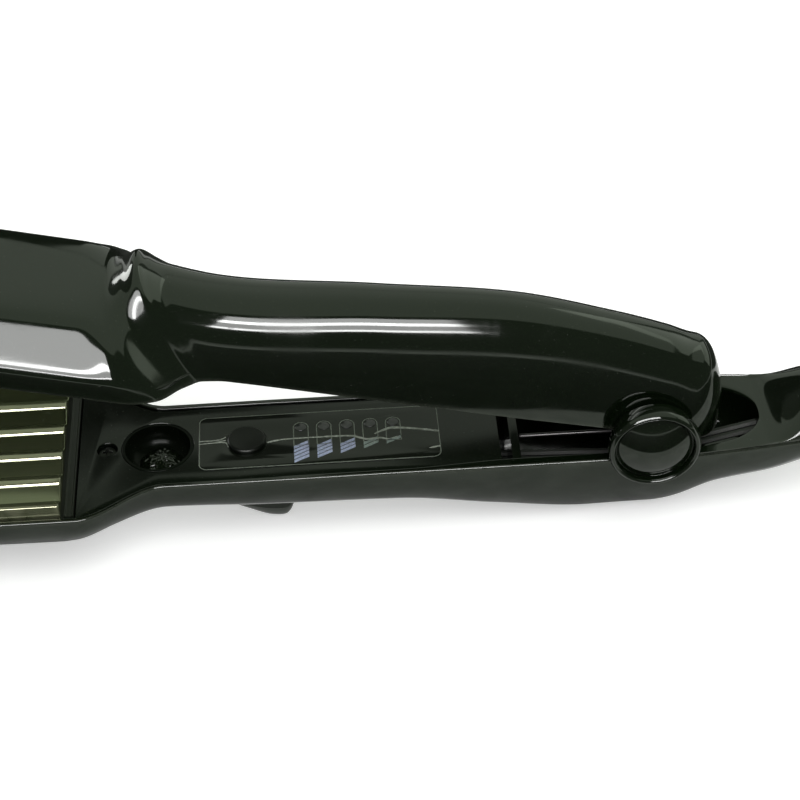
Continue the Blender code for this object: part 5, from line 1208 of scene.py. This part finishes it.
# ---- Upper deck
def upper_deck_plate():
    """Flat inner deck of the grip, and the round guide peg, which goes into the bowl."""
    outline = plan_outline(rim_half_width_above, DECK_FRONT_X, BULKHEAD_X, RIM_WALL + GAP)
    holes = [circle(SCREW_HEAD_RADIUS + 0.0003, place) for place in (GRIP_FRONT_X, REAR_SCREW_X)]
    panel("upper_deck_plate", outline, holes, DECK_DROP, DECK_DROP + DECK_THICKNESS, UPPER_DECK,
          edge=0.00035)
    reach = PIVOT_RISE + GUIDE_DEPTH - 0.0012
    r = PEG_RADIUS
    profile = [(0.0, -0.0021), (r, -0.0021), (r, 0.55 * reach), (0.88 * r, 0.76 * reach),
               (0.62 * r, 0.91 * reach), (0.3 * r, 0.985 * reach), (0.0, reach)]
    revolve("guide_peg", profile, UPPER_DECK, "-Z",
            (GUIDE_X, 0.0, 0.0), radius=0.0009)


# ---- Hinge
def hinge_caps():
    """Cap over each end of the pin: a raised outer ring, a deep groove and a low dome."""
    r, d = CAP_RADIUS, CAP_DOME
    x = np.linspace(0.0, 0.8, 18)
    dome = np.stack((x * r, 0.0004 + 0.0028 * (1.0 - (x / 0.8) ** 2)), 1)
    ring = np.array(((0.808 * r, 0.0001), (0.825 * r, 0.0), (0.842 * r, 0.0004),
                     (0.862 * r, d - 0.0009), (0.89 * r, d - 0.00045), (0.925 * r, d - 0.0004),
                     (0.962 * r, d - 0.0008), (0.99 * r, d - 0.0014), (r, d - 0.0019), (r, -0.0015),
                     (0.0, -0.0015)))
    profile = np.concatenate((dome, ring))
    proud = HANDLE_HALF_WIDTH + GAP + 0.0013
    for name, axis, side in (("near", "-Y", -1), ("far", "Y", 1)):
        kind = LOWER_SHELL._replace(nodes=(f"{name}_hinge_cap",))
        revolve(f"{name}_cap_cover", profile, kind, axis, (0.0, side * proud, PIVOT_RISE),
                sides=160, radius=0.00022, sharp=60.0)


def hinge_spring():
    """Torsion spring: a leg along the cavity, coils x = R sin a, z = -R cos a with y rising by the
    pitch, and a leg along the upper arm."""
    start_y = -1.5 * SPRING_PITCH
    total = 2.0 * math.pi * SPRING_TURNS + OPEN_ANGLE
    a = np.linspace(0.0, total, 220)
    coil = points(SPRING_RADIUS * np.sin(a), start_y + SPRING_PITCH * SPRING_TURNS * a / total,
                  PIVOT_RISE - SPRING_RADIUS * np.cos(a))
    along = np.linspace(0.0, 1.0, 24)[:, None]
    first = np.array((-SPRING_LEG, start_y, PIVOT_RISE - SPRING_RADIUS))
    first = first * (1 - along) + coil[0] * along
    away = np.array((-math.cos(OPEN_ANGLE), 0.0, math.sin(OPEN_ANGLE))) * SPRING_LEG * 0.8
    last = coil[-1] + away * along
    path = np.concatenate((first[:-1], coil, last[1:]))
    kind = Kind(SPRING_STEEL, "lower_arm", "steel", ("torsion_spring",))
    tube("hinge_spring", path, SPRING_WIRE / 2, kind, sides=14)


# ---- Tail
def tail_end():
    """Collar screwed into the tail, and the gland that swivels in it with its moulded rings."""
    end = TAIL_END_X + GAP
    g = GLAND_RADIUS
    front, bore, plug = end + 0.0026, g + GAP, SOCKET_RADIUS - GAP
    collar = [(bore, front), (0.82 * TAIL_RADIUS, front), (0.94 * TAIL_RADIUS, end + 0.0018),
              (TAIL_RADIUS, end), (plug, end), (plug, end - 0.0088), (bore, end - 0.0088)]
    revolve("tail_ring", collar, LOWER_SHELL._replace(nodes=("tail_collar",)), "X", radius=0.00035,
            closed=True)
    ridges = []
    for k in range(3):
        x = GLAND_END_X - 0.0012 - 0.0013 * k
        ridges += [(g, x), (g, x - 0.0004), (g - 0.0003, x - 0.0006), (g - 0.0003, x - 0.001)]
    foot = SOCKET_FLOOR_X + GAP
    gland = [(GLAND_BORE, GLAND_END_X), (g - 0.0008, GLAND_END_X)] + ridges + [
        (g, GLAND_END_X - 0.0052), (g, foot + 0.002), (plug, foot + 0.002), (plug, foot),
        (GLAND_BORE, foot)]
    revolve("gland_sleeve", gland, SWIVEL_GLAND, "X", radius=0.00015, closed=True)


lower_shell_skin()
hinge_rounds("hinge_ear", LOWER_SHELL, PIN_BORE, EAR_RADIUS, HANDLE_HALF_WIDTH, CHEEK_INNER,
             PIVOT_RISE, 0.0005)
shell_bulkhead()
shell_foot()
upper_shell_skin()
hinge_rounds("hinge_lug", UPPER_SHELL, BUSH_BORE, LUG_RADIUS, LUG_FACE, LUG_FACE - LUG_THICKNESS,
             0.0, 0.0004)
crimp_plate("lower_ridged_plate", "lower_crimp_plate", "lower_arm", -1)
crimp_plate("upper_ridged_plate", "upper_crimp_plate", "upper_arm", 1)
plate_surround("lower_surround", "lower_plate_frame", "lower_arm", -1)
plate_surround("upper_surround", "upper_plate_frame", "upper_arm", 1)
lower_deck_plate()
guide_bowl()
recessed_screw("deck_screw_head", "deck_screw", DECK_SCREW_X, "lower_arm", "Z")
recessed_screw("upper_front_screw_head", "upper_front_screw", GRIP_FRONT_X, "upper_arm", "-Z")
recessed_screw("upper_rear_screw_head", "upper_rear_screw", REAR_SCREW_X, "upper_arm", "-Z")
label_sheet()
label_prints()
label_creases()
push_button()
upper_deck_plate()
hinge_caps()
hinge_spring()
tail_end()


# ---- Solids that keep their shape
CARRIED = (
    (MICA, "lower_heater upper_heater"),
    (ZINC, "lower_heater_clamp upper_heater_clamp"),
    (FELT, "lower_insulator upper_insulator"),
    (FUSE_METAL, "thermal_fuse"),
    (COMPONENT_BLACK, "temperature_sensor button_switch triac"),
    (LED_WHITE, "indicator_lamps"),
    (BOARD_GREEN, "control_board"),
    (COMPONENT_BLUE, "mains_capacitor"),
    (STEEL, "hinge_pin"),
    (BUSH_WHITE, "near_hinge_bush far_hinge_bush"),
    (LEAD_SLEEVE, "mains_lead_live mains_lead_neutral lower_heater_lead upper_heater_lead"),
)
for look, nodes in CARRIED:
    for node in nodes.split():
        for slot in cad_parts[node].material_slots:
            slot.material = look


# ---- Floor, light and camera
def studio_floor():
    """A pale matt sheet. Seen by the camera, in gloss and through clear stuff it is lifted to
    white, so that only the shade of the object darkens it."""
    mesh = bpy.data.meshes.new("studio_floor")
    size = 20.0
    corners = [(-size, -size, 0), (size, -size, 0), (size, size, 0), (-size, size, 0)]
    mesh.from_pydata(corners, [], [(0, 1, 2, 3)])
    sheet = Nodes("studio_floor")
    sheet.tree.nodes.clear()
    rays = sheet.tree.nodes.new("ShaderNodeLightPath").outputs
    seen = rays["Is Camera Ray"]
    for ray in ("Is Glossy Ray", "Is Transmission Ray"):
        seen = sheet.node("Math", 0, {0: seen, 1: rays[ray]}, operation="MAXIMUM")
    strength = sheet.node("Math", 0, {0: seen, 1: FLOOR_LIFT}, operation="MULTIPLY")
    matt = sheet.node("BsdfDiffuse", 0, {"Color": (0.8, 0.8, 0.8)})
    lift = sheet.node("Emission", 0, {"Strength": strength})
    both = sheet.node("AddShader", 0, {0: matt, 1: lift})
    sheet.feed(both, sheet.tree.nodes.new("ShaderNodeOutputMaterial").inputs["Surface"])
    mesh.materials.append(sheet.made)
    floor = add_object("studio_floor", mesh)
    floor.location.z = -0.0002


def soft_box(name, place, target, size, radiance, colour=(1.0, 1.0, 1.0), gloss_only=False,
             soft_only=False):
    """Rectangular lamp that faces a point; its power is pi times radiance times area."""
    lamp = bpy.data.lights.new(name, "AREA")
    lamp.shape = "RECTANGLE"
    lamp.size, lamp.size_y = size
    lamp.energy = math.pi * radiance * size[0] * size[1]
    lamp.color = colour
    made = add_object(name, lamp)
    toward = Vector(target) - Vector(place)
    turn = toward.to_track_quat("-Z", "Y").to_matrix().to_4x4()
    made.matrix_world = Matrix.Translation(place) @ turn
    made.visible_camera = False
    made.visible_diffuse = made.visible_transmission = not gloss_only
    made.visible_glossy = not soft_only
    return made


def strip_light(name, low, high, radiance, reach=1.25, left=-0.8, right=0.27):
    """Long lamp on the near side, between two heights in degrees round the X axis, counted from
    the far horizon over the top."""
    middle, half = math.radians((low + high) / 2), math.radians((high - low) / 2)
    x, axis_z = (left + right) / 2, 0.04
    place = (x, reach * math.cos(middle), axis_z + reach * math.sin(middle))
    size = (right - left, 2 * reach * math.tan(half))
    soft_box(name, place, (x, 0.0, axis_z), size, radiance, STRIP_TINT, gloss_only=True)


def dark_flag(name, low, high, grey=0.012):
    """Dark cloth between two opposite corners, seen in gloss alone: one behind the object gives
    the far edges their dark line, two before it keep the near flanks dark, and one stands behind
    the head."""
    (x0, y0, z0), (x1, y1, z1) = low, high
    mesh = bpy.data.meshes.new(name)
    mesh.from_pydata([(x0, y0, z0), (x1, y0, z0), (x1, y1, z1), (x0, y1, z1)], [], [(0, 1, 2, 3)])
    cloth = dull_stuff(name + "_cloth", (grey,) * 3, 0.9, 60.0, 0.0001, (1.3 * grey,) * 3)
    mesh.materials.append(cloth)
    flag = add_object(name, mesh)
    flag.visible_camera = flag.visible_diffuse = flag.visible_shadow = False
    flag.visible_transmission = flag.visible_volume_scatter = False


FLOOR_LIFT = 0.48
CEILING_TINT = (0.93, 1.0, 0.89)
STRIP_TINT = (1.0, 0.93, 1.04)
studio_floor()
FLAG_Z = 0.0003
dark_flag("far_flag", (-0.9, 0.06, FLAG_Z), (0.9, 0.75, FLAG_Z))
dark_flag("near_flag", (-0.9, -0.8, FLAG_Z), (0.9, -0.06, FLAG_Z))
dark_flag("grey_flag", (-0.9, -0.06, FLAG_Z), (0.9, -0.01, FLAG_Z), 0.62)
dark_flag("head_flag", (-0.215, 0.3, 0.001), (-0.105, 0.3, 0.252))

world = bpy.data.worlds.new("studio_world")
bpy.context.scene.world = world
world.use_nodes = True
sky = world.node_tree.nodes["Background"]
sky.inputs["Color"].default_value = (0.12, 0.13, 0.115, 1.0)
sky.inputs["Strength"].default_value = 1.0

soft_box("ceiling", (-0.1, 0.62, 1.1), (-0.1, 0.62, 0.0), (2.6, 2.2), 0.52, CEILING_TINT)
soft_box("far_wall", (-0.1, 1.75, 0.62), (-0.1, 0.0, 0.62), (2.6, 0.96), 0.48, CEILING_TINT)
soft_box("right_wall", (1.3, 0.6, 0.75), (-0.1, 0.0, 0.05), (1.6, 0.9), 0.95, CEILING_TINT)
soft_box("left_kicker", (-1.1, 0.85, 0.22), (-0.05, 0.0, 0.03), (0.45, 0.3), 6.0, gloss_only=True)
soft_box("floor_light", (0.3, -0.62, 1.2), (-0.05, 0.0, 0.0), (1.4, 1.1), 3.2, soft_only=True)
strip_light("strip_soft_high", 121.5, 131.8, 7.6)
strip_light("strip_bright", 132.0, 138.2, 30.0)
strip_light("strip_soft_low", 138.4, 147.7, 6.0)
strip_light("strip_thin", 148.0, 151.5, 24.0)

CAMERA_PLACE = (-0.0827, -0.4256, 0.4013)
CAMERA_AZIMUTH, CAMERA_ELEVATION, CAMERA_ROLL = 2.47, 40.82, -1.73
FOCAL_PIXELS, PICTURE_PIXELS, SENSOR_WIDTH = 2163.0, 800.0, 36.0
camera_data = bpy.data.cameras.new("photo_camera")
camera_data.sensor_width = SENSOR_WIDTH
camera_data.lens = SENSOR_WIDTH * FOCAL_PIXELS / PICTURE_PIXELS
camera_data.clip_start = 0.01
camera = add_object("photo_camera", camera_data)
azimuth, elevation, roll = np.radians((CAMERA_AZIMUTH, CAMERA_ELEVATION, CAMERA_ROLL)).tolist()
ahead = Vector((math.sin(azimuth) * math.cos(elevation), math.cos(azimuth) * math.cos(elevation),
                -math.sin(elevation)))
right = ahead.cross(Vector((0.0, 0.0, 1.0))).normalized()
above = right.cross(ahead)
right, above = (math.cos(roll) * right + math.sin(roll) * above,
                -math.sin(roll) * right + math.cos(roll) * above)
turn = Matrix((right, above, -ahead)).transposed().to_4x4()
camera.matrix_world = Matrix.Translation(CAMERA_PLACE) @ turn
bpy.context.scene.camera = camera
bpy.context.scene.view_settings.view_transform = "Standard"
